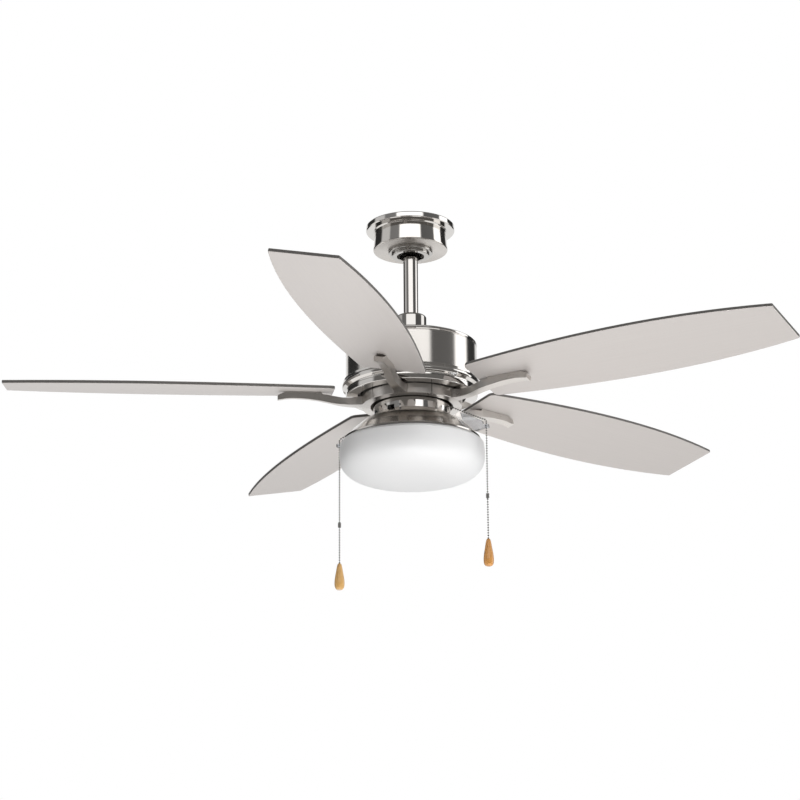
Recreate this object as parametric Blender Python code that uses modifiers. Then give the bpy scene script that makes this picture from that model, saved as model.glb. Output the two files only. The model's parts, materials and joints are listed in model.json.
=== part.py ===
"""Ceiling fan with light: five pitched blades on a down-rod, an opal glass bowl and two pull chains.

Frame: metres, +Z up.  The origin is the centre of the ceiling bracket's top face, so the ceiling
is the plane z = 0 and the whole fan hangs below it.  The front of the fan looks along -Y.
"""
import math

import bmesh
import bpy
from mathutils import Matrix, Vector

# ---------------------------------------------------------------- driving dimensions (metres)
GAP = 0.0003                    # air left between pieces that touch
STEPS = 28                      # facets round the large turned pieces
FINE_STEPS = 12                 # facets round the small turned pieces
HIDDEN_STEPS = 20               # facets round pieces inside the covers

BLADE_COUNT = 5
FIRST_BLADE_AZIMUTH = 184.9     # degrees from +X, seen from above
BLADE_PITCH = 11.4              # degrees, left-hand edge down looking outward
BLADE_PLANE_Z = -0.3045         # under face of the blades on their own centre line
BLADE_ROOT_R = 0.133
BLADE_TIP_R = 0.6855            # with the tip corners this sweeps 1.375 m (54 inches)
BLADE_ROOT_HALF = 0.0577
BLADE_TIP_HALF = 0.0550
BLADE_INNER_PULL = 0.0831       # half widths of the cubic's two middle control points
BLADE_OUTER_PULL = 0.0926
BLADE_THICKNESS = 0.0055

ROD_R = 0.0127
ROD_BORE_R = 0.0107
ROD_TOP_Z = -0.0100
ROD_BOTTOM_Z = -0.1997

COUPLING_R = 0.0190
COUPLING_TOP_Z = -0.1700
COUPLING_PIN_Z = -0.1850
PIN_R = 0.0025
PIN_WAY_R = 0.0028

BALL_R = 0.0235
BALL_Z = -0.0280                # centre of the hanger ball, the point the fan sways about
BALL_TOP_Z = -0.0120
SOCKET_CLEARANCE = 0.0006

BRACKET_LENGTH = 0.0920
BRACKET_WIDTH = 0.0560
BRACKET_SHEET = 0.0025
BRACKET_DEPTH = 0.0400

CANOPY_FLANGE_R = 0.0765
CANOPY_TOP_R = 0.0616
CANOPY_BOTTOM_R = 0.0645
CANOPY_BOTTOM_Z = -0.0458
CANOPY_SCREW_R = 0.0300         # distance of the canopy screws from the axis

HOUSING_R = 0.1126
HOUSING_WALL_R = 0.1120
HOUSING_TOP_Z = -0.2085
HOUSING_BOTTOM_Z = -0.2828
SHEET = 0.0012                  # sheet thickness of the spun metal covers
BEAD_R = 0.1185
COVE_R = 0.1121
RING_HOLE_R = 0.0920
RING_BOTTOM_Z = -0.3118

SHAFT_R = 0.0085
SHAFT_BORE_R = 0.0055
ROTOR_R = 0.0940
ROTOR_BOTTOM_Z = -0.3107

HUB_INNER_R = 0.0670
HUB_OUTER_R = 0.0865
HUB_TOP_Z = -0.3110
HUB_BOTTOM_Z = -0.3284
HUB_SEAM = 0.35                 # degrees of air on each side of a hub sector

SWITCH_R = 0.0655
SWITCH_TOP_Z = -0.3132
SWITCH_BOTTOM_Z = -0.3462
REVERSE_AZIMUTH = 237.4         # degrees, where the reversing slide looks out
REVERSE_TRAVEL = 0.0060
NOTCH_WIDTH = 0.0135
NOTCH_TOP_Z = -0.3402
FITTER_SCREW_AZIMUTHS = (252.0, 12.0, 132.0)
GLASS_CLIP_AZIMUTHS = (30.0, 150.0, 270.0)

PAN_RIM_R = 0.1160
PAN_RIM_Z = -0.3895
PAN_SHEET = 0.0014

GLASS_R = 0.1228
GLASS_MID_Z = -0.4081
GLASS_DEPTH = 0.0516            # from GLASS_MID_Z to the bottom of the bowl
GLASS_POWER = 3.2               # exponent of the bowl's superellipse
GLASS_WALL = 0.0035

LAMP_Z = -0.3960                # height of both lamps' axes
LAMP_PLATE_Z = -0.3500

CHAIN_R = 0.0015                # bead radius
CHAIN_EXIT_Z = -0.3350          # where the chains leave the switch housing
HANG_R = 0.1355                 # distance of the hanging chains from the fan's axis
GUIDE_TOP_Z = -0.3690
GUIDE_MOUTH_Z = -0.3850
GUIDE_WIDTH = 0.0080
HANG_TOP_Z = -0.3722
PULL_TRAVEL = 0.0120
CONNECTOR_LENGTH = 0.0080

# one row for each pull chain: name, azimuth, connector top z, pendant top z, pendant bottom z
CHAINS = (
    ("fan", 156.4, -0.5153, -0.5866, -0.6312),
    ("light", -23.6, -0.4955, -0.5734, -0.6196),
)


# ---------------------------------------------------------------- scene and helpers
for old in list(bpy.data.objects):
    bpy.data.objects.remove(old, do_unlink=True)

PARTS = bpy.data.collections.new("ceiling_fan_with_light")
CUTTERS = bpy.data.collections.new("cutters")
for group in (PARTS, CUTTERS):
    bpy.context.scene.collection.children.link(group)


def material(name, colour, roughness, metallic):
    """A Principled material with one colour."""
    mat = bpy.data.materials.new(name)
    mat.use_nodes = True
    shader = mat.node_tree.nodes["Principled BSDF"]
    shader.inputs["Base Color"].default_value = (*colour, 1.0)
    shader.inputs["Roughness"].default_value = roughness
    shader.inputs["Metallic"].default_value = metallic
    mat.diffuse_color = (*colour, 1.0)
    return mat


NICKEL = material("brushed_nickel", (0.62, 0.59, 0.56), 0.28, 1.0)
POLISHED = material("polished_nickel", (0.72, 0.70, 0.68), 0.08, 1.0)
CAST = material("cast_nickel", (0.55, 0.53, 0.50), 0.45, 1.0)
SILVER = material("silver_blade", (0.62, 0.60, 0.58), 0.45, 0.3)
STEEL = material("zinc_steel", (0.60, 0.61, 0.62), 0.35, 1.0)
LAMINATION = material("stator_steel", (0.30, 0.30, 0.31), 0.50, 0.9)
COPPER = material("copper_winding", (0.60, 0.28, 0.12), 0.40, 1.0)
RUBBERY = material("hanger_ball_nylon", (0.06, 0.06, 0.065), 0.55, 0.0)
BLACK = material("black_plastic", (0.02, 0.02, 0.02), 0.45, 0.0)
PORCELAIN = material("porcelain", (0.85, 0.84, 0.80), 0.30, 0.0)
OPAL = material("opal_glass", (0.93, 0.93, 0.92), 0.25, 0.0)
LAMP = material("frosted_lamp", (0.95, 0.94, 0.90), 0.30, 0.0)
CLEAR = material("clear_plastic", (0.72, 0.76, 0.82), 0.10, 0.0)
WOOD = material("honey_wood", (0.80, 0.47, 0.16), 0.35, 0.0)


def add(obj, mat, parent=None, collection=PARTS):
    """Link an object, give it its material and hang it on a parent empty."""
    collection.objects.link(obj)
    if mat is not None:
        obj.data.materials.append(mat)
    if parent is not None:
        obj.parent = parent
    return obj


def empty(name, location=(0, 0, 0), rotation=(0, 0, 0)):
    """An axis that pieces are parented to; rotation in degrees."""
    obj = bpy.data.objects.new(name, None)
    obj.location = location
    obj.rotation_euler = [math.radians(a) for a in rotation]
    PARTS.objects.link(obj)
    return obj


def arc(centre, radius, start, end, count):
    """Points (r, z) on an arc, angles in degrees, both ends included."""
    turn = [math.radians(start + (end - start) * i / count) for i in range(count + 1)]
    return [(centre[0] + radius * math.cos(a), centre[1] + radius * math.sin(a)) for a in turn]


def turned(name, profile, mat, steps=STEPS, closed=True, parent=None, location=(0, 0, 0),
           collection=PARTS):
    """A profile of (r, z) points turned about Z; it runs down its outer side first.

    A closed profile is a ring's section.  An open one starts and ends on the axis.
    """
    mesh = bpy.data.meshes.new(name)
    edges = [(i, i + 1) for i in range(len(profile) - 1)]
    if closed:
        edges.append((len(profile) - 1, 0))
    mesh.from_pydata([(r, 0.0, z) for r, z in profile], edges, [])
    obj = add(bpy.data.objects.new(name, mesh), mat, parent, collection)
    obj.location = location
    screw = obj.modifiers.new("turn", "SCREW")
    screw.axis = "Z"
    screw.angle = math.tau
    screw.steps = steps
    screw.render_steps = steps
    screw.use_merge_vertices = True
    screw.merge_threshold = 0.00001
    screw.use_smooth_shade = True
    return obj


def ring(name, inner, outer, top, bottom, mat, steps=STEPS, parent=None):
    """A plain ring of rectangular section."""
    return turned(name, [(outer, top), (outer, bottom), (inner, bottom), (inner, top)], mat, steps,
                  parent=parent)


def rod(name, radius, length, mat, location, rotation=(0, 0, 0), parent=None,
        collection=PARTS, segments=FINE_STEPS):
    """A plain cylinder along its local Z, centred on its location; rotation in degrees."""
    mesh = bpy.data.meshes.new(name)
    bm = bmesh.new()
    bmesh.ops.create_cone(bm, cap_ends=True, segments=segments, radius1=radius, radius2=radius,
                          depth=length)
    bm.to_mesh(mesh)
    bm.free()
    obj = add(bpy.data.objects.new(name, mesh), mat, parent, collection)
    obj.location = location
    obj.rotation_euler = [math.radians(a) for a in rotation]
    return obj


def block(name, size, mat, location, rotation=(0, 0, 0), parent=None, collection=PARTS):
    """A box of the given size, centred on its location; rotation in degrees."""
    mesh = bpy.data.meshes.new(name)
    bm = bmesh.new()
    bmesh.ops.create_cube(bm, size=1.0)
    bmesh.ops.scale(bm, vec=size, verts=bm.verts)
    bm.to_mesh(mesh)
    bm.free()
    obj = add(bpy.data.objects.new(name, mesh), mat, parent, collection)
    obj.location = location
    obj.rotation_euler = [math.radians(a) for a in rotation]
    return obj


def hide_cutter(obj):
    """Keep a cutter out of the model."""
    obj.hide_render = True
    obj.display_type = "WIRE"
    return obj


def combine(target, other, operation):
    """Cut another solid out of the target, or join it to the target."""
    hide_cutter(other)
    boolean = target.modifiers.new(operation.lower(), "BOOLEAN")
    boolean.operation = operation
    boolean.object = other
    return target


def cut(target, *cutters):
    """Cut one or more solids out of the target."""
    for cutter in cutters:
        combine(target, cutter, "DIFFERENCE")
    return target


def join(target, *others):
    """Join one or more solids to the target."""
    for other in others:
        combine(target, other, "UNION")
    return target


def curve_to_mesh(obj):
    """Replace a curve object by a welded mesh of the same shape in the same place."""
    bpy.context.view_layer.update()
    evaluated = obj.evaluated_get(bpy.context.evaluated_depsgraph_get())
    mesh = bpy.data.meshes.new_from_object(evaluated)
    bm = bmesh.new()
    bm.from_mesh(mesh)
    bmesh.ops.remove_doubles(bm, verts=bm.verts, dist=0.00001)
    bm.to_mesh(mesh)
    bm.free()
    solid = bpy.data.objects.new(obj.name + "_solid", mesh)
    group = obj.users_collection[0]
    group.objects.link(solid)
    place = obj.matrix_world.copy()
    parent = obj.parent
    name = obj.name
    bpy.data.objects.remove(obj, do_unlink=True)
    solid.name = name
    solid.parent = parent
    solid.matrix_world = place
    return solid


def plate(name, outline, thickness, mat, location=(0, 0, 0), rotation=(0, 0, 0), parent=None,
          collection=PARTS):
    """A flat outline in its local XY plane, as thick as given, centred on that plane."""
    data = bpy.data.curves.new(name, "CURVE")
    data.dimensions = "2D"
    data.fill_mode = "BOTH"
    data.extrude = thickness / 2
    spline = data.splines.new("POLY")
    spline.points.add(len(outline) - 1)
    for point, (x, y) in zip(spline.points, outline):
        point.co = (x, y, 0.0, 1.0)
    spline.use_cyclic_u = True
    obj = add(bpy.data.objects.new(name, data), mat, parent, collection)
    obj.location = location
    obj.rotation_euler = [math.radians(a) for a in rotation]
    return curve_to_mesh(obj)


def tube_along(name, points, radius, mat, parent=None):
    """A round cord through the given points, with flat filled ends."""
    data = bpy.data.curves.new(name, "CURVE")
    data.dimensions = "3D"
    data.bevel_depth = radius
    data.bevel_resolution = 2
    data.use_fill_caps = True
    spline = data.splines.new("POLY")
    spline.points.add(len(points) - 1)
    for point, place in zip(spline.points, points):
        point.co = (*place, 1.0)
    return add(bpy.data.objects.new(name, data), mat, parent)


def polar(radius, azimuth, z=0.0):
    """A point from its distance from the axis, its azimuth in degrees and its height."""
    a = math.radians(azimuth)
    return Vector((radius * math.cos(a), radius * math.sin(a), z))


# ---------------------------------------------------------------- ceiling mounting
def hanger_bracket():
    """Folded steel bracket: ceiling plate, two legs and the seat that carries the ball."""
    sheet = BRACKET_SHEET
    leg_height = BRACKET_DEPTH - 2 * sheet + 0.001
    top = block("hanger_bracket", (BRACKET_LENGTH, BRACKET_WIDTH, sheet), STEEL,
                (0, 0, -sheet / 2))
    seat = block("bracket_seat", (BRACKET_LENGTH, BRACKET_WIDTH, sheet), None,
                 (0, 0, -BRACKET_DEPTH + sheet / 2), collection=CUTTERS)
    legs = [block("bracket_leg", (sheet, BRACKET_WIDTH, leg_height), None,
                  (side * (BRACKET_LENGTH - sheet) / 2, 0, -BRACKET_DEPTH / 2),
                  collection=CUTTERS) for side in (-1, 1)]
    join(top, seat, *legs)
    socket = BALL_R + SOCKET_CLEARANCE
    ball = turned("socket_cutter", arc((0, BALL_Z), socket, 90, -90, 12), None, 24, closed=False,
                  collection=CUTTERS)
    slot = block("slot_cutter", (2 * ROD_R + 0.002, BRACKET_WIDTH, 0.02), None,
                 (0, BRACKET_WIDTH / 2, -BRACKET_DEPTH), collection=CUTTERS)
    wire_way = rod("wire_way_cutter", 0.0075, 0.02, None, (0, 0.0170, 0), collection=CUTTERS)
    cut(top, ball, slot, wire_way)
    for side in (-1, 1):
        cut(top, rod("screw_way_cutter", 0.0023, 0.02, None,
                     (side * CANOPY_SCREW_R, 0, -BRACKET_DEPTH), collection=CUTTERS))
        cut(top, rod("mount_slot_cutter", 0.0028, 0.02, None,
                     (side * 0.034, 0, 0), collection=CUTTERS))
    return top


def hanger_ball(sway):
    """Nylon ball with the rod's bore and the hole of its cross pin."""
    flat = math.degrees(math.asin((BALL_TOP_Z - BALL_Z) / BALL_R))
    profile = [(0.0, BALL_TOP_Z - BALL_Z), *arc((0, 0), BALL_R, flat, -90, 9)]
    profile[-1] = (0.0, -BALL_R)
    ball = turned("hanger_ball", profile, RUBBERY, 24, closed=False, parent=sway)
    bore = rod("ball_bore_cutter", ROD_R + GAP, 0.08, None, (0, 0, BALL_Z), collection=CUTTERS,
               segments=STEPS)
    pin_way = rod("ball_pin_way_cutter", PIN_WAY_R, 0.08, None, (0, 0, BALL_Z), (0, 90, 0),
                  collection=CUTTERS)
    cut(ball, bore, pin_way)


def canopy():
    """Spun ceiling canopy: flange at the ceiling, gently flared body and a flat bottom."""
    sheet = 0.0011
    flange_z = -0.0098
    corner = 0.0018
    bottom = CANOPY_BOTTOM_Z
    hole = 0.0255
    outer = [(CANOPY_FLANGE_R - 0.0010, -0.0008), (CANOPY_FLANGE_R, -0.0018),
             (CANOPY_FLANGE_R, flange_z + 0.0008), (CANOPY_FLANGE_R - 0.0012, flange_z),
             (CANOPY_TOP_R, flange_z - 0.0020), (CANOPY_BOTTOM_R, bottom + corner),
             (CANOPY_BOTTOM_R - 0.0005, bottom + 0.0005), (CANOPY_BOTTOM_R - corner, bottom),
             (hole, bottom)]
    inner = [(hole, bottom + sheet), (CANOPY_BOTTOM_R - corner, bottom + sheet),
             (CANOPY_TOP_R - sheet, flange_z - 0.0010),
             (CANOPY_FLANGE_R - 0.0022, flange_z + 0.0012), (CANOPY_FLANGE_R - 0.0022, -0.0008)]
    shell = turned("canopy", outer + inner, NICKEL)
    for side in (-1, 1):
        cut(shell, rod("canopy_hole_cutter", 0.0024, 0.01, None,
                       (side * CANOPY_SCREW_R, 0, CANOPY_BOTTOM_Z), collection=CUTTERS))


def canopy_trim_ring():
    """Stepped ring that hides the canopy screws, open towards the canopy."""
    top = CANOPY_BOTTOM_Z - GAP
    step_z = -0.0512
    bottom = -0.0560
    outer = [(0.0384, top), (0.0384, step_z + 0.0008), (0.0376, step_z), (0.0336, step_z),
             (0.0330, step_z - 0.0006), (0.0330, bottom + 0.0008), (0.0322, bottom),
             (0.0241, bottom), (0.0233, bottom + 0.0008)]
    inner = [(0.0233, top), (0.0246, top), (0.0246, bottom + 0.0012), (0.0317, bottom + 0.0012),
             (0.0317, step_z + 0.0012), (0.0372, step_z + 0.0012), (0.0372, top)]
    turned("canopy_trim_ring", outer + inner, POLISHED)


def canopy_screw(index, side):
    """Pan-head screw from below the canopy into the bracket's seat."""
    head = CANOPY_BOTTOM_Z - GAP
    profile = [(0.0, -0.0375), (0.0020, -0.0375), (0.0020, head), (0.0032, head),
               (0.0032, head - 0.0012), (0.0020, head - 0.0024), (0.0, head - 0.0024)]
    turned(f"canopy_screw_{index}", profile, STEEL, FINE_STEPS, closed=False,
           location=(side * CANOPY_SCREW_R, 0, 0))


# ---------------------------------------------------------------- down-rod and coupling
def downrod(sway):
    """Steel tube from the ball to the motor coupling, bored for its two cross pins."""
    tube = ring("downrod", ROD_BORE_R, ROD_R, ROD_TOP_Z - BALL_Z, ROD_BOTTOM_Z - BALL_Z, POLISHED,
                24, parent=sway)
    for z in (BALL_Z, COUPLING_PIN_Z):
        cut(tube, rod("rod_pin_way_cutter", PIN_WAY_R, 0.06, None, (0, 0, z), (0, 90, 0),
                      collection=CUTTERS))


def motor_coupling():
    """Turned yoke that joins the rod to the hollow motor shaft and carries the housing."""
    bottom = HOUSING_TOP_Z + GAP
    bore = ROD_R + GAP
    profile = [(COUPLING_R - 0.0010, COUPLING_TOP_Z), (COUPLING_R, COUPLING_TOP_Z - 0.0010),
               (COUPLING_R, bottom + 0.0040), (0.0245, bottom + 0.0040), (0.0245, bottom),
               (SHAFT_R + GAP, bottom), (SHAFT_R + GAP, ROD_BOTTOM_Z - GAP),
               (bore, ROD_BOTTOM_Z - GAP), (bore, COUPLING_TOP_Z)]
    yoke = turned("motor_coupling", profile, CAST, HIDDEN_STEPS)
    cut(yoke, rod("coupling_pin_way_cutter", PIN_WAY_R, 0.06, None, (0, 0, COUPLING_PIN_Z),
                  (0, 90, 0), collection=CUTTERS))


def coupling_cover():
    """Spun collar that slides down the rod over the coupling."""
    outer_r = 0.0267
    top = -0.1653
    bottom = HOUSING_TOP_Z + GAP
    corner = 0.0045
    inner_r = outer_r - SHEET
    hole = ROD_R + 0.0005
    outer = [(hole, top), *arc((outer_r - corner, top - corner), corner, 90, 0, 3),
             (outer_r, bottom)]
    inner = [(inner_r, bottom), *arc((outer_r - corner, top - corner), corner - SHEET, 0, 90, 2),
             (hole, top - SHEET)]
    turned("coupling_cover", outer + inner, POLISHED)


# ---------------------------------------------------------------- motor housing
def motor_housing():
    """Drum: low-crowned top, polished rim bead, brushed wall, open below."""
    wall = HOUSING_WALL_R
    hole = SHAFT_R + 0.0010
    outer = [(hole, HOUSING_TOP_Z), (0.0600, HOUSING_TOP_Z), (0.1091, -0.2170),
             (HOUSING_R, -0.2192), (HOUSING_R, -0.2236), (0.1115, -0.2250), (wall, -0.2264),
             (wall, HOUSING_BOTTOM_Z)]
    inner = [(wall - SHEET, HOUSING_BOTTOM_Z), (wall - SHEET, -0.2200), (0.1086, -0.2182),
             (0.0598, HOUSING_TOP_Z - SHEET), (hole, HOUSING_TOP_Z - SHEET)]
    turned("motor_housing", outer + inner, NICKEL)


def housing_lower_ring():
    """Polished bottom ring: lip, bead, groove and cove, with the hole the hub turns in."""
    top = HOUSING_BOTTOM_Z - GAP
    bottom = RING_BOTTOM_Z
    outer = [(0.1130, top), (0.1163, -0.2850), (0.1163, -0.2885), (0.1178, -0.2905),
             (BEAD_R, -0.2937), (0.1172, -0.2968), (0.1112, -0.3005), (0.1112, -0.3024),
             (COVE_R, -0.3036), (COVE_R, bottom + 0.0024), (COVE_R - 0.0024, bottom),
             (RING_HOLE_R, bottom)]
    inner = [(RING_HOLE_R, bottom + SHEET), (0.1095, bottom + SHEET), (0.1096, -0.2998),
             (0.1160, -0.2958), (0.1148, -0.2870), (0.1090, top - SHEET), (0.1090, top)]
    turned("housing_lower_ring", outer + inner, POLISHED)


# ---------------------------------------------------------------- motor
def stator():
    """Fixed core on the shaft with its winding wrapped round the rim."""
    ring("motor_shaft", SHAFT_BORE_R, SHAFT_R, -0.2035, -0.3300, STEEL, HIDDEN_STEPS)
    ring("stator_core", SHAFT_R + GAP, 0.0700, -0.2480, -0.2720, LAMINATION, HIDDEN_STEPS)
    rim = 0.0700 + GAP
    profile = [(0.0735, -0.2430), (0.0735, -0.2770), (0.0450, -0.2770), (0.0450, -0.2720 - GAP),
               (rim, -0.2720 - GAP), (rim, -0.2480 + GAP), (0.0450, -0.2480 + GAP),
               (0.0450, -0.2430)]
    turned("stator_winding", profile, COPPER, HIDDEN_STEPS)


def rotor(spin):
    """Outer rotor: two cast shells on ball bearings and the rotor ring between them."""
    split = -0.2690
    upper = [(0.0178, -0.2260), (0.0600, -0.2260), (0.0900, -0.2340), (ROTOR_R, -0.2390),
             (ROTOR_R, split), (ROTOR_R - 0.0020, split), (ROTOR_R - 0.0020, -0.2400),
             (0.0890, -0.2360), (0.0595, -0.2282), (0.0205, -0.2282), (0.0205, -0.2380),
             (0.0178, -0.2380)]
    turned("rotor_upper_shell", upper, CAST, HIDDEN_STEPS, parent=spin)
    lower_top = split - GAP
    lower = [(ROTOR_R, lower_top), (ROTOR_R, -0.2985), (0.0860, -0.3005),
             (0.0860, ROTOR_BOTTOM_Z), (0.0213, ROTOR_BOTTOM_Z), (0.0213, -0.2885),
             (0.0240, -0.2885), (0.0240, -0.3065), (0.0830, -0.3065), (0.0830, -0.2975),
             (0.0920, -0.2960), (0.0920, lower_top)]
    turned("rotor_lower_shell", lower, CAST, HIDDEN_STEPS, parent=spin)
    ring("rotor_ring", 0.0750, ROTOR_R - 0.0020 - GAP, -0.2490, -0.2685, LAMINATION,
         HIDDEN_STEPS, parent=spin)
    ring("upper_bearing", SHAFT_R + GAP, 0.0175, -0.2292, -0.2370, STEEL, HIDDEN_STEPS, parent=spin)
    ring("lower_bearing", SHAFT_R + GAP, 0.0210, -0.2890, -0.3000, STEEL, HIDDEN_STEPS, parent=spin)


# ---------------------------------------------------------------- blade irons and blades
# stations of the arm: distance out, top, bottom (from the blade plane), width, share of the pitch
ARM_STATIONS = (
    (0.0780, -0.0110, -0.0232, 0.0200, 0.00),
    (0.1050, -0.0110, -0.0232, 0.0196, 0.00),
    (0.1170, -0.0102, -0.0223, 0.0190, 0.30),
    (0.1285, -0.0078, -0.0205, 0.0186, 0.70),
    (0.1400, -0.0052, -0.0182, 0.0183, 1.00),
    (0.1515, -0.0036, -0.0160, 0.0181, 1.00),
    (0.1538, 0.0000, -0.0155, 0.0181, 1.00),
    (0.1665, 0.0000, -0.0137, 0.0179, 1.00),
    (0.1845, 0.0000, -0.0120, 0.0177, 1.00),
    (0.2020, 0.0000, -0.0116, 0.0175, 1.00),
    (0.2130, 0.0000, -0.0124, 0.0173, 1.00),
    (0.2200, -0.0030, -0.0136, 0.0172, 1.00),
    (0.2275, -0.0062, -0.0150, 0.0171, 1.00),
)


def arm_mesh():
    """Loft of rectangular sections that twist from level at the hub to the blade's pitch."""
    bm = bmesh.new()
    sections = []
    for reach, top, bottom, width, share in ARM_STATIONS:
        twist = math.radians(-BLADE_PITCH * share)
        half = width / 2
        corners = [(-half, bottom), (half, bottom), (half, top), (-half, top)]
        sections.append([bm.verts.new((reach, y * math.cos(twist) - z * math.sin(twist),
                                       y * math.sin(twist) + z * math.cos(twist)))
                         for y, z in corners])
    for near, far in zip(sections, sections[1:]):
        for i in range(4):
            j = (i + 1) % 4
            bm.faces.new((near[i], far[i], far[j], near[j]))
    bm.faces.new(sections[0])
    bm.faces.new(reversed(sections[-1]))
    bmesh.ops.recalc_face_normals(bm, faces=bm.faces)
    mesh = bpy.data.meshes.new("blade_iron_arm")
    bm.to_mesh(mesh)
    bm.free()
    return mesh


def iron_mesh():
    """One cast blade iron: a fifth of the hub ring with its arm, arm along +X."""
    half = 180 / BLADE_COUNT - HUB_SEAM
    rim = arc((0, 0), HUB_OUTER_R, -half, half, 10)
    hole = arc((0, 0), HUB_INNER_R, half, -half, 10)
    height = HUB_TOP_Z - HUB_BOTTOM_Z
    middle = (HUB_TOP_Z + HUB_BOTTOM_Z) / 2 - BLADE_PLANE_Z
    sector = plate("iron_sector", rim + hole, height, None, (0, 0, middle), collection=CUTTERS)
    arm = bpy.data.objects.new("iron_arm", arm_mesh())
    CUTTERS.objects.link(arm)
    join(sector, arm)
    bpy.context.view_layer.update()
    evaluated = sector.evaluated_get(bpy.context.evaluated_depsgraph_get())
    mesh = bpy.data.meshes.new_from_object(evaluated)
    mesh.transform(sector.matrix_world)
    mesh.name = "blade_iron"
    hide_cutter(sector)
    return mesh


def blade_outline():
    """Blade edge as seen from above: rounded root corners, swelling sides, square-cut tip."""
    def side(share):
        """Half width at a share of the length, a cubic from the root to the tip."""
        rest = 1.0 - share
        return (BLADE_ROOT_HALF * rest ** 3 + 3 * BLADE_INNER_PULL * rest * rest * share
                + 3 * BLADE_OUTER_PULL * rest * share * share + BLADE_TIP_HALF * share ** 3)

    corner = 0.0095
    start = BLADE_ROOT_R + corner
    count = 12
    edge = []
    for i in range(count + 1):
        share = i / count
        edge.append((start + (BLADE_TIP_R - 0.0020 - start) * share, side(share)))
    root = arc((start, BLADE_ROOT_HALF - corner), corner, 180, 90, 4)[:-1]
    tip = [(BLADE_TIP_R, BLADE_TIP_HALF - 0.0018)]
    half = root + edge + tip
    return [(x, -y) for x, y in half] + [(x, y) for x, y in reversed(half)]


def blades_and_irons(spin):
    """Five irons and five blades, equally spaced round the spin axis."""
    iron = iron_mesh()
    iron.materials.clear()
    iron.materials.append(NICKEL)
    outline = blade_outline()
    lift = GAP + BLADE_THICKNESS / 2
    for index in range(BLADE_COUNT):
        azimuth = FIRST_BLADE_AZIMUTH + 360 / BLADE_COUNT * index
        axis = empty(f"blade_axis_{index + 1}", (0, 0, BLADE_PLANE_Z), (0, 0, azimuth))
        axis.parent = spin
        obj = bpy.data.objects.new(f"blade_iron_{index + 1}", iron)
        PARTS.objects.link(obj)
        obj.parent = axis
        pitch = empty(f"blade_pitch_{index + 1}", (0, 0, 0), (-BLADE_PITCH, 0, 0))
        pitch.parent = axis
        blade = plate(f"blade_{index + 1}", outline, BLADE_THICKNESS, SILVER, parent=None)
        blade.parent = pitch
        blade.matrix_parent_inverse = Matrix.Identity(4)
        blade.matrix_basis = Matrix.Translation((0, 0, lift))


# ---------------------------------------------------------------- switch housing and light kit
def notch_cutter():
    """Box that opens the lower edge of the switch housing in front of the reversing slide."""
    bottom = SWITCH_BOTTOM_Z - GAP / 2
    middle = (NOTCH_TOP_Z + bottom) / 2
    return block("notch_cutter", (0.012, NOTCH_WIDTH, NOTCH_TOP_Z - bottom), None,
                 polar(SWITCH_R - 0.002, REVERSE_AZIMUTH, middle), (0, 0, REVERSE_AZIMUTH),
                 collection=CUTTERS)


def switch_housing():
    """Polished cup under the motor that holds the switches."""
    inner_r = SWITCH_R - SHEET
    hole = SHAFT_R + GAP
    outer = [(hole, SWITCH_TOP_Z), (SWITCH_R - 0.0015, SWITCH_TOP_Z),
             (SWITCH_R, SWITCH_TOP_Z - 0.0015), (SWITCH_R, SWITCH_BOTTOM_Z)]
    inner = [(inner_r, SWITCH_BOTTOM_Z), (inner_r, SWITCH_TOP_Z - SHEET),
             (hole, SWITCH_TOP_Z - SHEET)]
    cup = turned("switch_housing", outer + inner, POLISHED)
    cut(cup, notch_cutter())
    for _, azimuth, *_ in CHAINS:
        cut(cup, rod("chain_hole_cutter", 0.0024, 0.02, None,
                     polar(SWITCH_R, azimuth, CHAIN_EXIT_Z), (0, 90, azimuth),
                     collection=CUTTERS))


def shaft_nut():
    """Hexagon nut that holds the switch housing up on the shaft."""
    top = SWITCH_TOP_Z - SHEET - GAP
    nut = rod("shaft_nut", 0.0150, 0.0060, STEEL, (0, 0, top - 0.0030), segments=6)
    cut(nut, rod("nut_bore_cutter", SHAFT_R + GAP, 0.02, None, (0, 0, top), collection=CUTTERS))


def reversing_switch():
    """Slide switch body behind the notch and its travelling button."""
    azimuth = REVERSE_AZIMUTH
    z = (NOTCH_TOP_Z + SWITCH_BOTTOM_Z) / 2
    body = block("reversing_switch", (0.0080, 0.0220, 0.0078), BLACK,
                 polar(0.0545, azimuth, z), (0, 0, azimuth))
    cut(body, block("switch_well_cutter", (0.0050, 0.0120, 0.0042), None,
                    polar(0.0585, azimuth, z), (0, 0, azimuth), collection=CUTTERS))
    tangent = Vector((-math.sin(math.radians(azimuth)), math.cos(math.radians(azimuth)), 0))
    rest = polar(0.0608, azimuth, z) - tangent * REVERSE_TRAVEL / 2
    slide = empty("reverse_slide", rest, (0, 0, azimuth))
    block("reversing_slider", (0.0086, 0.0052, 0.0034), BLACK, (0, 0, 0), parent=slide)


def pull_switch(name, azimuth):
    """Rotary pull switch inside the housing with its threaded chain outlet."""
    body = block(f"{name}_switch", (0.0240, 0.0220, 0.0160), BLACK,
                 polar(0.0440, azimuth, CHAIN_EXIT_Z + 0.0040), (0, 0, azimuth))
    spout = rod("spout", 0.0045, 0.0120, None, polar(0.0570, azimuth, CHAIN_EXIT_Z),
                (0, 90, azimuth), collection=CUTTERS)
    join(body, spout)
    cut(body, rod("spout_bore_cutter", 0.0020, 0.0120, None,
                  polar(0.0610, azimuth, CHAIN_EXIT_Z), (0, 90, azimuth), collection=CUTTERS))


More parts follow.
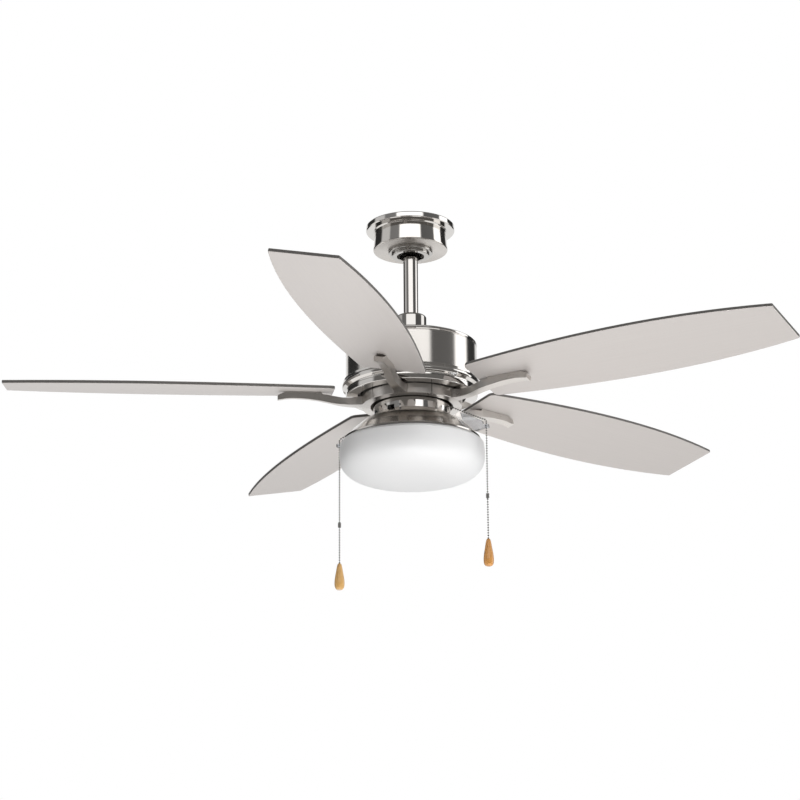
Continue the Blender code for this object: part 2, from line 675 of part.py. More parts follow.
def light_fitter_pan():
    """Brushed bell that flares from the switch housing to the rim of the glass."""
    neck_r = SWITCH_R - 0.0020
    neck_top = -0.3400
    step = SWITCH_BOTTOM_Z - GAP
    outer = [(neck_r, neck_top), (neck_r, step), (0.0662, step), (0.0840, -0.3580),
             (0.0935, -0.3653), (0.1020, -0.3727), (0.1152, -0.3870), (PAN_RIM_R, -0.3886),
             (PAN_RIM_R, PAN_RIM_Z)]
    inner = [(PAN_RIM_R - PAN_SHEET, PAN_RIM_Z), (0.1139, -0.3879), (0.1010, -0.3738),
             (0.0926, -0.3664), (0.0832, -0.3592), (0.0655, -0.3482),
             (neck_r - PAN_SHEET, -0.3478), (neck_r - PAN_SHEET, neck_top)]
    pan = turned("light_fitter_pan", outer + inner, NICKEL)
    cut(pan, notch_cutter())


def fitter_screw(index, azimuth):
    """Small round-head screw through the switch housing into the pan's neck."""
    z = -0.3420
    axis = empty(f"fitter_screw_axis_{index}", (0, 0, z), (0, 90, azimuth))
    near = SWITCH_R + GAP
    profile = [(0.0, near + 0.0016), (0.0012, near + 0.0014), (0.0022, near + 0.0006),
               (0.0022, near), (0.0013, near), (0.0013, 0.0600), (0.0, 0.0600)]
    turned(f"fitter_screw_{index}", profile, STEEL, 14, closed=False, parent=axis)
    for target in ("switch_housing", "light_fitter_pan"):
        hole = rod("fitter_hole_cutter", 0.0016, 0.012, None, polar(SWITCH_R - 0.002, azimuth, z),
                   (0, 90, azimuth), collection=CUTTERS)
        cut(bpy.data.objects[target], hole)


def lamp_set(index, side):
    """Porcelain lampholder on its foot and the frosted lamp screwed into it, lying along X."""
    turn = 90 * side
    holder = [(0.0, 0.0055), (0.0135, 0.0055), (0.0165, 0.0080), (0.0165, 0.0390),
              (0.0140, 0.0390), (0.0140, 0.0200), (0.0, 0.0200)]
    holder = [(r, -z) for r, z in holder]
    axis = empty(f"lamp_axis_{index}", (0, 0, LAMP_Z), (0, -turn, 0))
    body = turned(f"lampholder_{index}", holder, PORCELAIN, HIDDEN_STEPS, closed=False, parent=axis)
    foot_top = LAMP_PLATE_Z - SHEET - GAP
    foot_bottom = LAMP_Z + 0.0130
    foot = block("holder_foot", (0.0140, 0.0200, foot_top - foot_bottom), None,
                 (side * 0.0150, 0, (foot_top + foot_bottom) / 2), collection=CUTTERS)
    join(body, foot)
    bulb = [(0.0, 0.0205), (0.0095, 0.0205), (0.0128, 0.0225), (0.0128, 0.0400),
            (0.0140, 0.0440), (0.0205, 0.0560), (0.0225, 0.0660), (0.0205, 0.0770),
            (0.0140, 0.0860), (0.0070, 0.0895), (0.0, 0.0905)]
    bulb = [(r, -z) for r, z in bulb]
    turned(f"lamp_{index}", bulb, LAMP, HIDDEN_STEPS, closed=False, parent=axis)


def lamp_plate():
    """Disc inside the pan that carries both lampholders."""
    ring("lamp_plate", 0.0060, 0.0615, LAMP_PLATE_Z, LAMP_PLATE_Z - SHEET, STEEL)


def glass_bowl():
    """Opal glass bowl with a neck that stands inside the pan's rim."""
    def bowl(radius, depth, count):
        """Superellipse from the widest level to the axis."""
        points = []
        for i in range(count + 1):
            a = math.pi / 2 * i / count
            points.append((radius * max(math.cos(a), 0.0) ** (2 / GLASS_POWER),
                           GLASS_MID_Z - depth * math.sin(a) ** (2 / GLASS_POWER)))
        points[-1] = (0.0, GLASS_MID_Z - depth)
        return points

    neck_r = 0.1090
    shoulder_z = -0.3907
    wall = GLASS_WALL
    outer = [(neck_r, -0.3850), (neck_r, shoulder_z), (0.1180, shoulder_z - 0.0008),
             (0.1215, shoulder_z - 0.0050), *bowl(GLASS_R, GLASS_DEPTH, 9)]
    inner = bowl(GLASS_R - wall, GLASS_DEPTH - wall, 7)[::-1]
    inner += [(0.1160, shoulder_z - 0.0045), (neck_r - 0.0028, shoulder_z - 0.0025),
              (neck_r - 0.0028, -0.3850)]
    turned("glass_bowl", inner + outer, OPAL, closed=False)


def glass_clip(index, azimuth):
    """Bent spring strip on the pan that presses outward on the neck of the glass."""
    outline = [(0.1010, -0.3760), (0.1043, -0.3795), (0.1046, -0.3885), (0.1034, -0.3885),
               (0.1031, -0.3800), (0.1002, -0.3770)]
    axis = empty(f"glass_clip_axis_{index}", (0, 0, 0), (90, 0, azimuth))
    strip = plate(f"glass_clip_{index}", outline, 0.0100, STEEL)
    strip.parent = axis
    strip.matrix_parent_inverse = Matrix.Identity(4)
    strip.matrix_basis = Matrix.Identity(4)


# ---------------------------------------------------------------- pull chains
def chain_guide(name, azimuth):
    """Clear plastic guide on the pan that leads the chain out past the glass and down."""
    outline = [(0.0900, -0.3499), (0.1300, -0.3699), (0.1312, GUIDE_TOP_Z),
               (0.1398, GUIDE_TOP_Z), (0.1398, GUIDE_MOUTH_Z), (0.1312, GUIDE_MOUTH_Z),
               (0.1300, -0.3815), (0.1185, -0.3875), (0.1166, -0.3866), (0.1098, -0.3794),
               (0.1028, -0.3722), (0.0943, -0.3648)]
    axis = empty(f"{name}_guide_axis", (0, 0, 0), (90, 0, azimuth))
    guide = plate(f"{name}_chain_guide", outline, GUIDE_WIDTH, CLEAR)
    guide.parent = axis
    guide.matrix_parent_inverse = Matrix.Identity(4)
    guide.matrix_basis = Matrix.Identity(4)
    middle = (GUIDE_TOP_Z + GUIDE_MOUTH_Z) / 2
    cut(guide, rod("guide_bore_cutter", CHAIN_R + 0.0006, 0.04, None,
                   polar(HANG_R, azimuth, middle), collection=CUTTERS))


def chain_feed(name, azimuth):
    """The stretch of chain between the switch and the guide's bore."""
    run = [(0.0625, CHAIN_EXIT_Z), (0.0670, CHAIN_EXIT_Z - 0.0002), (0.0720, -0.3368),
           (0.0800, -0.3410), (0.0880, -0.3452), (0.0960, -0.3493), (0.1040, -0.3532),
           (0.1120, -0.3571), (0.1200, -0.3611), (0.1280, -0.3650), (0.1325, -0.3668),
           (0.1347, -0.3683), (0.1354, -0.3698), (HANG_R, HANG_TOP_Z + GAP)]
    tube_along(f"{name}_chain_feed", [polar(r, azimuth, z) for r, z in run], CHAIN_R, STEEL)


def hanging_chain(name, azimuth, connector_z, pendant_z, pendant_bottom):
    """The free stretch of chain with its connector and its wooden pull, one sliding set."""
    pull = empty(f"{name}_pull_axis", polar(HANG_R, azimuth, HANG_TOP_Z))
    bottom = pendant_z + GAP - HANG_TOP_Z
    count = 24
    tube_along(f"{name}_pull_chain", [(0, 0, bottom * i / count) for i in range(count + 1)],
               CHAIN_R, STEEL, pull)
    top = connector_z - HANG_TOP_Z
    ring(f"{name}_chain_connector", CHAIN_R + 0.0004, 0.0027, top, top - CONNECTOR_LENGTH,
         STEEL, FINE_STEPS, parent=pull)
    height = pendant_z - pendant_bottom
    flat = 0.0050 if name == "fan" else 0.0030
    shape = ((0.000, 0.0028), (0.050, 0.0038), (0.300, 0.0059), (0.520, 0.0077),
             (0.750, 0.0086), (0.900, 0.0076), (1.000, flat))
    head = pendant_z - HANG_TOP_Z
    profile = [(0.0, head), *[(r, head - share * height) for share, r in shape],
               (0.0, head - height)]
    turned(f"{name}_pendant", profile, WOOD, 16, closed=False, parent=pull)


# ---------------------------------------------------------------- assembly
def build():
    """Make every piece of the fan."""
    hanger_bracket()
    sway = empty("sway_axis", (0, 0, BALL_Z))
    hanger_ball(sway)
    rod("ball_pin", PIN_R, 0.0330, STEEL, (0, 0, 0), (0, 90, 0), parent=sway)
    canopy()
    canopy_trim_ring()
    for index, side in enumerate((-1, 1), start=1):
        canopy_screw(index, side)
    downrod(sway)
    motor_coupling()
    rod("coupling_pin", PIN_R, 0.0470, STEEL, (0, 0, COUPLING_PIN_Z), (0, 90, 0))
    coupling_cover()
    motor_housing()
    housing_lower_ring()
    stator()
    spin = empty("spin_axis")
    rotor(spin)
    blades_and_irons(spin)
    switch_housing()
    shaft_nut()
    reversing_switch()
    light_fitter_pan()
    for index, azimuth in enumerate(FITTER_SCREW_AZIMUTHS, start=1):
        fitter_screw(index, azimuth)
    lamp_plate()
    for index, side in enumerate((1, -1), start=1):
        lamp_set(index, side)
    glass_bowl()
    for index, azimuth in enumerate(GLASS_CLIP_AZIMUTHS, start=1):
        glass_clip(index, azimuth)
    for name, azimuth, connector_z, pendant_z, pendant_bottom in CHAINS:
        pull_switch(name, azimuth)
        chain_guide(name, azimuth)
        chain_feed(name, azimuth)
        hanging_chain(name, azimuth, connector_z, pendant_z, pendant_bottom)
    bpy.context.view_layer.update()


build()
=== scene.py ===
"""Ceiling fan with light: the visual model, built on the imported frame.

Frame: metres, +Z up, the origin at the centre of the ceiling bracket's top face.
The fan hangs below it and its front looks along -Y.
"""
import json
import math

import bmesh
import bpy
from mathutils import Matrix, Vector


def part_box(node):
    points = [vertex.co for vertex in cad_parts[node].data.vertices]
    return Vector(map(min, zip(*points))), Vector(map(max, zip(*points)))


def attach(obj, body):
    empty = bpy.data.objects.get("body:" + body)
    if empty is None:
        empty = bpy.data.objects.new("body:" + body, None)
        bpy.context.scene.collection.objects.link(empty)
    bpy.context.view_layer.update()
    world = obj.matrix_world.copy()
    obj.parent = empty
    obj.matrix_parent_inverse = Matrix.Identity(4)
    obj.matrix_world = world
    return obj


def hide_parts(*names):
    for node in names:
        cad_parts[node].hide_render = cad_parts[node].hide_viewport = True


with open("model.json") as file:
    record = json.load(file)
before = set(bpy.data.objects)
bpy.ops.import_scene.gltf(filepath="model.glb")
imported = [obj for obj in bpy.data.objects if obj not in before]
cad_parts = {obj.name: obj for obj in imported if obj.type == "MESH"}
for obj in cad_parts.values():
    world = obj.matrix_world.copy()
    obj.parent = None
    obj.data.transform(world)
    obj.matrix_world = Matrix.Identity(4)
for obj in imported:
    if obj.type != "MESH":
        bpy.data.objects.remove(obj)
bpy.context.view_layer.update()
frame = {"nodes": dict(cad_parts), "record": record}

# ---------------------------------------------------------------- sizes (metres)
FULL_TURN = 144                  # facets round the large turned pieces
SMALL_TURN = 64                  # facets round the rod and its fittings
TINY_TURN = 32
SHEET = 0.0012

BLADE_COUNT = 5
FIRST_BLADE_AZIMUTH = 184.9      # degrees from +X, seen from above
BLADE_PITCH = 11.4               # degrees, left-hand edge down looking outward
BLADE_PLANE_Z = -0.3045
BLADE_ROOT_R = 0.133
BLADE_TIP_R = 0.6855
BLADE_ROOT_HALF = 0.0577
BLADE_TIP_HALF = 0.0550
BLADE_INNER_PULL = 0.0831        # half widths at the blade curve's two middle control points
BLADE_OUTER_PULL = 0.0926
BLADE_CORNER = 0.0095
BLADE_THICKNESS = 0.0055
BLADE_LIFT = 0.0003              # air between the iron's pad and the blade
BLADE_SCREW_REACHES = (0.165, 0.184, 0.203)

HUB_INNER_R = 0.0698
HUB_OUTER_R = 0.0865
HUB_TOP_Z = -0.3110
HUB_DRAFT = 0.0013               # taper of the cast hub's wall
HUB_SEAM = 0.35                  # degrees of air on each side of a hub sector
ARM_DRAFT = 0.13                 # lean of the arm's sides, inward toward its underside

CHAIN_BEAD_R = 0.0015
CHAIN_PITCH = 0.0044
CHAIN_LINK_R = 0.0002
CHAIN_EXIT_R = 0.0625
CHAIN_EXIT_Z = -0.3350
HANG_R = 0.1355
CHAIN_AZIMUTH = {"fan": 156.4, "light": -23.6}

REVERSE_AZIMUTH = 237.4          # degrees, where the reversing slide looks out
NOTCH_WIDTH = 0.0135
NOTCH_TOP_Z = -0.3402
FITTER_SCREW_AZIMUTHS = (252.0, 12.0, 132.0)
FITTER_SCREW_Z = -0.3420
FITTER_SCREW_HOLE_R = 0.0016
CHAIN_HOLE_R = 0.0024
FLOOR_R = 4.0
FLOOR_Z = -2.6


def span(node):
    """Outer radius, top and bottom of a CAD node that is turned about the Z axis."""
    low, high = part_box(node)
    return high.x, high.z, low.z


def middle(node):
    """Centre of a CAD node's box."""
    low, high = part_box(node)
    return (low + high) / 2


def polar(radius, azimuth, z=0.0):
    """A point from its distance from the axis, its azimuth in degrees and its height."""
    turn = math.radians(azimuth)
    return Vector((radius * math.cos(turn), radius * math.sin(turn), z))


# ---------------------------------------------------------------- camera
CAMERA_PLACE = (0.0, -4.0799, -1.5997)
CAMERA_TILT = 17.476             # degrees above the horizon
CAMERA_ROLL = -0.5
CAMERA_LENS = 113.4              # mm, on a 36 mm sensor
CAMERA_SHIFT = -0.01468


def add_camera():
    """Camera below and in front of the fan, looking up at it."""
    data = bpy.data.cameras.new("camera")
    data.lens = CAMERA_LENS
    data.sensor_width = 36.0
    data.shift_x = CAMERA_SHIFT
    data.clip_start = 0.05
    data.clip_end = 60.0
    camera = link(bpy.data.objects.new("camera", data))
    turn = Matrix.Rotation(math.radians(90 + CAMERA_TILT), 4, "X")
    roll = Matrix.Rotation(math.radians(CAMERA_ROLL), 4, "Z")
    camera.matrix_world = Matrix.Translation(CAMERA_PLACE) @ turn @ roll
    bpy.context.scene.camera = camera


# ---------------------------------------------------------------- mesh helpers
def link(obj):
    """Put an object into the scene."""
    bpy.context.scene.collection.objects.link(obj)
    return obj


def as_mesh(bm, name):
    """A bmesh as a mesh."""
    mesh = bpy.data.meshes.new(name)
    bm.to_mesh(mesh)
    bm.free()
    return mesh


def finish_piece(name, mesh, material, body, replaced=(), place=None, sharp=32.0):
    """Place a mesh in the frame as a piece; its own coordinates stay in the attribute "local"."""
    if place is None:
        place = Matrix.Identity(4)
    local = mesh.attributes.new("local", "FLOAT_VECTOR", "POINT")
    flat = [c for v in mesh.vertices for c in v.co]
    local.data.foreach_set("vector", flat)
    mesh.transform(place)
    mesh.shade_smooth()
    mesh.set_sharp_from_angle(angle=math.radians(sharp))
    obj = link(bpy.data.objects.new(name, mesh))
    for mat in material if isinstance(material, (list, tuple)) else (material,):
        obj.data.materials.append(mat)
    weighted = obj.modifiers.new("even_normals", "WEIGHTED_NORMAL")
    weighted.keep_sharp = True
    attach(obj, body)
    if replaced:
        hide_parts(*replaced)
    return obj


def rounded(points, steps=4):
    """A section of (r, z, corner radius) points with its corners rounded by arcs.

    The section is a closed loop; a corner radius of 0 keeps the corner.
    """
    loop = []
    count = len(points)
    for i, (r, z, radius) in enumerate(points):
        here = Vector((r, z))
        back = Vector(points[i - 1][:2]) - here
        ahead = Vector(points[(i + 1) % count][:2]) - here
        if radius <= 0 or back.length < 1e-9 or ahead.length < 1e-9:
            loop.append((r, z))
            continue
        half = back.angle(ahead) / 2
        if half > math.radians(88):
            loop.append((r, z))
            continue
        reach = min(radius / math.tan(half), 0.49 * back.length, 0.49 * ahead.length)
        radius = reach * math.tan(half)
        centre = here + (back.normalized() + ahead.normalized()).normalized() * (
            radius / math.sin(half))
        start = here + back.normalized() * reach - centre
        end = here + ahead.normalized() * reach - centre
        sweep = start.angle_signed(end)
        for k in range(steps + 1):
            turn = -sweep * k / steps
            loop.append((centre.x + start.x * math.cos(turn) - start.y * math.sin(turn),
                         centre.y + start.x * math.sin(turn) + start.y * math.cos(turn)))
    return loop


def turned_mesh(name, section, steps=FULL_TURN, closed=True):
    """Turn a section of (r, z) points about Z; an open one starts and ends on the axis."""
    bm = bmesh.new()
    rings = []
    for r, z in section:
        if r < 1e-7:
            rings.append([bm.verts.new((0, 0, z))] * steps)
            continue
        rings.append([bm.verts.new((r * math.cos(math.tau * k / steps),
                                    r * math.sin(math.tau * k / steps), z))
                      for k in range(steps)])
    pairs = list(zip(rings, rings[1:]))
    if closed:
        pairs.append((rings[-1], rings[0]))
    for upper, lower in pairs:
        for k in range(steps):
            n = (k + 1) % steps
            corners = []
            for vert in (upper[k], lower[k], lower[n], upper[n]):
                if vert not in corners:
                    corners.append(vert)
            if len(corners) > 2:
                bm.faces.new(corners)
    bmesh.ops.recalc_face_normals(bm, faces=bm.faces)
    return as_mesh(bm, name)


def lofted_mesh(name, sections):
    """A skin through a row of closed sections, with a flat end on each side."""
    bm = bmesh.new()
    rings = [[bm.verts.new(point) for point in section] for section in sections]
    for near, far in zip(rings, rings[1:]):
        for i in range(len(near)):
            j = (i + 1) % len(near)
            bm.faces.new((near[i], far[i], far[j], near[j]))
    bm.faces.new(rings[0])
    bm.faces.new(rings[-1])
    bmesh.ops.recalc_face_normals(bm, faces=bm.faces)
    return as_mesh(bm, name)


def slab(outline, thickness):
    """A bmesh of an outline of points drawn out along a vector."""
    bm = bmesh.new()
    face = bm.faces.new([bm.verts.new(point) for point in outline])
    grown = bmesh.ops.extrude_face_region(bm, geom=[face])
    lifted = [g for g in grown["geom"] if isinstance(g, bmesh.types.BMVert)]
    bmesh.ops.translate(bm, vec=thickness, verts=lifted)
    bmesh.ops.recalc_face_normals(bm, faces=bm.faces)
    return bm


def turned(name, section, material, body, replaced=(), steps=FULL_TURN, closed=True,
           place=None):
    """A turned piece from a section of (r, z) points."""
    return finish_piece(name, turned_mesh(name, section, steps, closed), material, body,
                        replaced, place)


def primitive(kind, place, **sizes):
    """A bmesh primitive as a mesh, moved to its place."""
    bm = bmesh.new()
    if kind == "box":
        bmesh.ops.create_cube(bm, size=1.0)
        bmesh.ops.scale(bm, vec=sizes["size"], verts=bm.verts)
    if kind == "rod":
        bmesh.ops.create_cone(bm, cap_ends=True, segments=sizes.get("segments", 48),
                              radius1=sizes["radius"], radius2=sizes["radius"],
                              depth=sizes["length"])
    bm.transform(place)
    return as_mesh(bm, kind)


def boolean(mesh, others, operation="DIFFERENCE"):
    """The mesh with other meshes cut out of it or joined to it."""
    base = link(bpy.data.objects.new("base", mesh))
    helpers = [base]
    for other in others:
        tool = link(bpy.data.objects.new("tool", other))
        helpers.append(tool)
        modifier = base.modifiers.new("cut", "BOOLEAN")
        modifier.operation = operation
        modifier.solver = "EXACT"
        modifier.object = tool
    bpy.context.view_layer.update()
    graph = bpy.context.evaluated_depsgraph_get()
    result = bpy.data.meshes.new_from_object(base.evaluated_get(graph))
    for helper in helpers:
        bpy.data.objects.remove(helper, do_unlink=True)
    return result


def turn_and_place(azimuth, point=(0, 0, 0), tilt=0.0):
    """Rotation about Z by the azimuth after a tilt about Y, then a move; angles in degrees."""
    return (Matrix.Translation(point) @ Matrix.Rotation(math.radians(azimuth), 4, "Z")
            @ Matrix.Rotation(math.radians(tilt), 4, "Y"))


def smooth_value(rows, column, x):
    """A value between the rows of a table, on a curve that never overshoots its rows."""
    xs = [row[0] for row in rows]
    ys = [row[column] for row in rows]
    slopes = [(ys[i + 1] - ys[i]) / (xs[i + 1] - xs[i]) for i in range(len(xs) - 1)]
    tangents = [slopes[0]]
    for left, right in zip(slopes, slopes[1:]):
        tangents.append(0.0 if left * right <= 0 else 2 * left * right / (left + right))
    tangents.append(slopes[-1])
    i = max(k for k in range(len(xs) - 1) if xs[k] <= x or k == 0)
    width = xs[i + 1] - xs[i]
    t = (x - xs[i]) / width
    return (ys[i] * (1 + 2 * t) * (1 - t) ** 2 + tangents[i] * width * t * (1 - t) ** 2
            + ys[i + 1] * t * t * (3 - 2 * t) + tangents[i + 1] * width * t * t * (t - 1))


# ---------------------------------------------------------------- material helpers
class Nodes:
    """A node tree with short ways to add nodes and join them."""

    def __init__(self, tree):
        self.tree = tree

    def node(self, kind, inputs=None, **settings):
        """Add a node; inputs maps socket names or numbers to values or other nodes' outputs."""
        made = self.tree.nodes.new("ShaderNode" + kind)
        for key, value in settings.items():
            setattr(made, key, value)
        for key, value in (inputs or {}).items():
            if isinstance(value, bpy.types.NodeSocket):
                self.tree.links.new(value, made.inputs[key])
            else:
                made.inputs[key].default_value = value
        return made

    def math(self, operation, a, b=0.0):
        """The output of a Math node."""
        return self.node("Math", {0: a, 1: b}, operation=operation).outputs[0]

    def ramp(self, factor, *stops):
        """A colour ramp; each stop is a place from 0 to 1 and a grey value or a colour."""
        made = self.node("ValToRGB", {"Fac": factor})
        elements = made.color_ramp.elements
        while len(elements) < len(stops):
            elements.new(0.5)
        for element, (place, colour) in zip(elements, stops):
            element.position = place
            if isinstance(colour, (int, float)):
                colour = (colour, colour, colour)
            element.color = (*colour, 1.0)
        return made.outputs["Color"]

    def mix(self, factor, a, b):
        """Two colours mixed by a factor."""
        made = self.node("Mix", data_type="RGBA")
        for key, value in ((0, factor), (6, a), (7, b)):
            if isinstance(value, bpy.types.NodeSocket):
                self.tree.links.new(value, made.inputs[key])
            elif key == 0:
                made.inputs[0].default_value = value
            else:
                made.inputs[key].default_value = (*value, 1.0)
        return made.outputs[2]


class Shader(Nodes):
    """A material's node tree, with its Principled shader."""

    def __init__(self, name):
        self.material = bpy.data.materials.new(name)
        self.material.use_nodes = True
        super().__init__(self.material.node_tree)
        self.main = self.tree.nodes["Principled BSDF"]

    def set(self, **values):
        """Set sockets of the Principled shader; _ stands for a space in a socket's name."""
        for key, value in values.items():
            self.main.inputs[key.replace("_", " ")].default_value = value
        return self

    def noise(self, vector, scale, detail=3.0, roughness=0.5):
        """The factor of a Noise texture."""
        return self.node("TexNoise", {"Vector": vector, "Scale": scale, "Detail": detail,
                                      "Roughness": roughness}).outputs["Fac"]

    def between(self, factor, low, high):
        """A factor from 0 to 1 turned into a value between two limits."""
        return self.node("MapRange", {"Value": factor, "To Min": low, "To Max": high}).outputs[0]

    def bump(self, height, strength, distance):
        """Feed a height into the shader's normal."""
        made = self.node("Bump", {"Height": height, "Strength": strength, "Distance": distance})
        self.join(made.outputs["Normal"], "Normal")

    def join(self, output, socket):
        """Feed an output into a socket of the Principled shader."""
        self.tree.links.new(output, self.main.inputs[socket])

    def place(self):
        """Coordinates in the frame, which all pieces share."""
        return self.node("TexCoord").outputs["Object"]

    def local(self):
        """A piece's own coordinates, from before it was put in its place."""
        return self.node("Attribute", attribute_name="local").outputs["Vector"]

    def scaled(self, vector, x, y, z):
        """Coordinates stretched along each axis."""
        return self.node("Mapping", {"Vector": vector, "Scale": (x, y, z)}).outputs["Vector"]

    def ring_lines(self, along, across):
        """Coordinates that run in rings about the Z axis: slow along a ring, quick across."""
        parts = self.node("SeparateXYZ", {"Vector": self.place()})
        flat = self.node("CombineXYZ", {"X": parts.outputs["X"], "Y": parts.outputs["Y"]})
        radius = self.node("VectorMath", {0: flat.outputs[0]}, operation="LENGTH").outputs["Value"]
        unit = self.node("VectorMath", {0: flat.outputs[0]}, operation="NORMALIZE").outputs[0]
        rings = self.math("ADD", self.math("MULTIPLY", radius, across),
                          self.math("MULTIPLY", parts.outputs["Z"], across))
        turn = self.node("SeparateXYZ", {"Vector": unit})
        return self.node("CombineXYZ", {"X": self.math("MULTIPLY", turn.outputs["X"], along),
                                        "Y": self.math("MULTIPLY", turn.outputs["Y"], along),
                                        "Z": rings}).outputs[0]


NICKEL_COLOUR = (0.62, 0.595, 0.565)
WARM_NICKEL = (0.69, 0.66, 0.63)


def ring_brushed(name, roughness, strength):
    """Nickel brushed in rings about the Z axis."""
    s = Shader(name).set(Metallic=1.0, Anisotropic=0.65, Anisotropic_Rotation=0.25)
    lines = s.noise(s.ring_lines(1.6, 2600.0), 1.0, 4.0, 0.65)
    cloud = s.noise(s.place(), 22.0, 2.0)
    s.join(s.mix(s.between(lines, 0.0, 1.0), NICKEL_COLOUR, WARM_NICKEL), "Base Color")
    worn = s.math("ADD", s.between(lines, roughness * 0.75, roughness * 1.2),
                  s.between(cloud, -0.02, 0.02))
    s.join(worn, "Roughness")
    s.join(s.node("Tangent", direction_type="RADIAL", axis="Z").outputs[0], "Tangent")
    s.bump(lines, strength, 0.00002)
    return s.material


def polished(name, colour, roughness):
    """Polished nickel with fine wipe marks."""
    s = Shader(name).set(Metallic=1.0)
    marks = s.noise(s.place(), 90.0, 4.0, 0.6)
    haze = s.noise(s.place(), 14.0, 2.0)
    s.join(s.mix(haze, colour, tuple(0.94 * c for c in colour)), "Base Color")
    s.join(s.math("ADD", s.between(marks, roughness * 0.6, roughness * 1.4),
                  s.between(haze, -0.01, 0.015)), "Roughness")
    s.bump(s.noise(s.place(), 320.0, 2.0), 0.02, 0.00005)
    return s.material


def arm_brushed(name):
    """Cast nickel brushed along the arm."""
    s = Shader(name).set(Metallic=1.0)
    lines = s.noise(s.scaled(s.local(), 35.0, 1600.0, 1600.0), 1.0, 3.0, 0.6)
    cloud = s.noise(s.local(), 40.0, 2.0)
    s.join(s.mix(lines, NICKEL_COLOUR, WARM_NICKEL), "Base Color")
    s.join(s.math("ADD", s.between(lines, 0.24, 0.34), s.between(cloud, -0.03, 0.03)),
           "Roughness")
    s.bump(lines, 0.10, 0.00002)
    return s.material


def cast_metal(name, colour):
    """Sand-cast metal: dull, with fine grain and darker pits."""
    s = Shader(name).set(Metallic=1.0)
    grain = s.noise(s.place(), 900.0, 4.0, 0.6)
    stain = s.noise(s.place(), 60.0, 3.0)
    s.join(s.mix(stain, colour, tuple(0.7 * c for c in colour)), "Base Color")
    s.join(s.between(grain, 0.38, 0.58), "Roughness")
    s.bump(grain, 0.35, 0.0001)
    return s.material


def zinc(name):
    """Zinc-plated steel with a faint spangle."""
    s = Shader(name).set(Metallic=1.0)
    cells = s.node("TexVoronoi", {"Vector": s.place(), "Scale": 260.0}).outputs["Color"]
    tone = s.node("RGBToBW", {0: cells}).outputs[0]
    s.join(s.mix(tone, (0.56, 0.58, 0.60), (0.70, 0.71, 0.72)), "Base Color")
    s.join(s.between(tone, 0.24, 0.40), "Roughness")
    s.bump(s.noise(s.place(), 700.0, 2.0), 0.08, 0.00005)
    return s.material


def lamination(name):
    """Stack of thin steel sheets."""
    s = Shader(name).set(Metallic=0.9)
    wave = s.node("TexWave", {"Vector": s.place(), "Scale": 320.0, "Distortion": 0.3},
                  bands_direction="Z").outputs["Fac"]
    s.join(s.mix(wave, (0.16, 0.16, 0.17), (0.34, 0.34, 0.35)), "Base Color")
    s.join(s.between(wave, 0.35, 0.60), "Roughness")
    s.bump(wave, 0.5, 0.0002)
    return s.material


def winding(name):
    """Enamelled copper wire laid in turns."""
    s = Shader(name).set(Metallic=1.0)
    wave = s.node("TexWave", {"Vector": s.place(), "Scale": 420.0, "Distortion": 2.0,
                              "Detail": 1.0}, bands_direction="DIAGONAL").outputs["Fac"]
    s.join(s.mix(wave, (0.30, 0.11, 0.04), (0.66, 0.31, 0.13)), "Base Color")
    s.join(s.between(wave, 0.28, 0.45), "Roughness")
    s.bump(wave, 0.6, 0.0003)
    return s.material


def moulded(name, dark, light, roughness):
    """Moulded plastic with a fine texture."""
    s = Shader(name)
    grain = s.noise(s.place(), 1100.0, 3.0, 0.6)
    s.join(s.mix(grain, dark, light), "Base Color")
    s.join(s.between(grain, roughness - 0.06, roughness + 0.08), "Roughness")
    s.bump(grain, 0.15, 0.00008)
    return s.material


def glazed(name, dark, light, roughness):
    """Glazed porcelain or a frosted lamp: smooth and faintly mottled."""
    s = Shader(name).set(Coat_Weight=0.3, Coat_Roughness=0.08)
    mottle = s.noise(s.place(), 70.0, 3.0)
    s.join(s.mix(mottle, dark, light), "Base Color")
    s.join(s.between(mottle, roughness - 0.04, roughness + 0.04), "Roughness")
    s.bump(s.noise(s.place(), 420.0, 2.0), 0.03, 0.0001)
    return s.material


def opal_glass(name):
    """Etched opal glass: white, satin, with the faintest unevenness."""
    s = Shader(name).set(IOR=1.5, Coat_Weight=0.12, Coat_Roughness=0.30)
    mottle = s.noise(s.place(), 9.0, 3.0, 0.5)
    grain = s.noise(s.place(), 1500.0, 2.0)
    s.join(s.mix(mottle, (0.86, 0.865, 0.87), (0.90, 0.90, 0.90)), "Base Color")
    s.join(s.between(grain, 0.42, 0.54), "Roughness")
    s.bump(grain, 0.05, 0.00005)
    return s.material


def blade_face(name):
    """Silver lacquer on the blade's faces, with metal flake and a faint long grain."""
    s = Shader(name).set(Metallic=0.45, Coat_Weight=0.10, Coat_Roughness=0.35)
    grain = s.noise(s.scaled(s.local(), 6.0, 260.0, 260.0), 1.0, 5.0, 0.6)
    flake = s.noise(s.local(), 1900.0, 2.0, 0.7)
    silver = s.mix(grain, (0.540, 0.506, 0.484), (0.608, 0.574, 0.552))
    s.join(s.mix(s.between(flake, 0.0, 0.35), silver, (0.84, 0.80, 0.775)), "Base Color")
    s.join(s.math("ADD", s.between(flake, 0.38, 0.52), s.between(grain, -0.03, 0.03)),
           "Roughness")
    s.bump(s.math("ADD", s.math("MULTIPLY", grain, 0.6), s.math("MULTIPLY", flake, 0.4)),
           0.06, 0.0001)
    return s.material


def blade_edge(name):
    """Dark grey edge band of the blades."""
    s = Shader(name).set(Specular_IOR_Level=0.4)
    grain = s.noise(s.scaled(s.local(), 25.0, 25.0, 900.0), 1.0, 4.0, 0.6)
    s.join(s.mix(grain, (0.10, 0.095, 0.09), (0.19, 0.18, 0.17)), "Base Color")
    s.join(s.between(grain, 0.38, 0.55), "Roughness")
    s.bump(grain, 0.2, 0.0001)
    return s.material


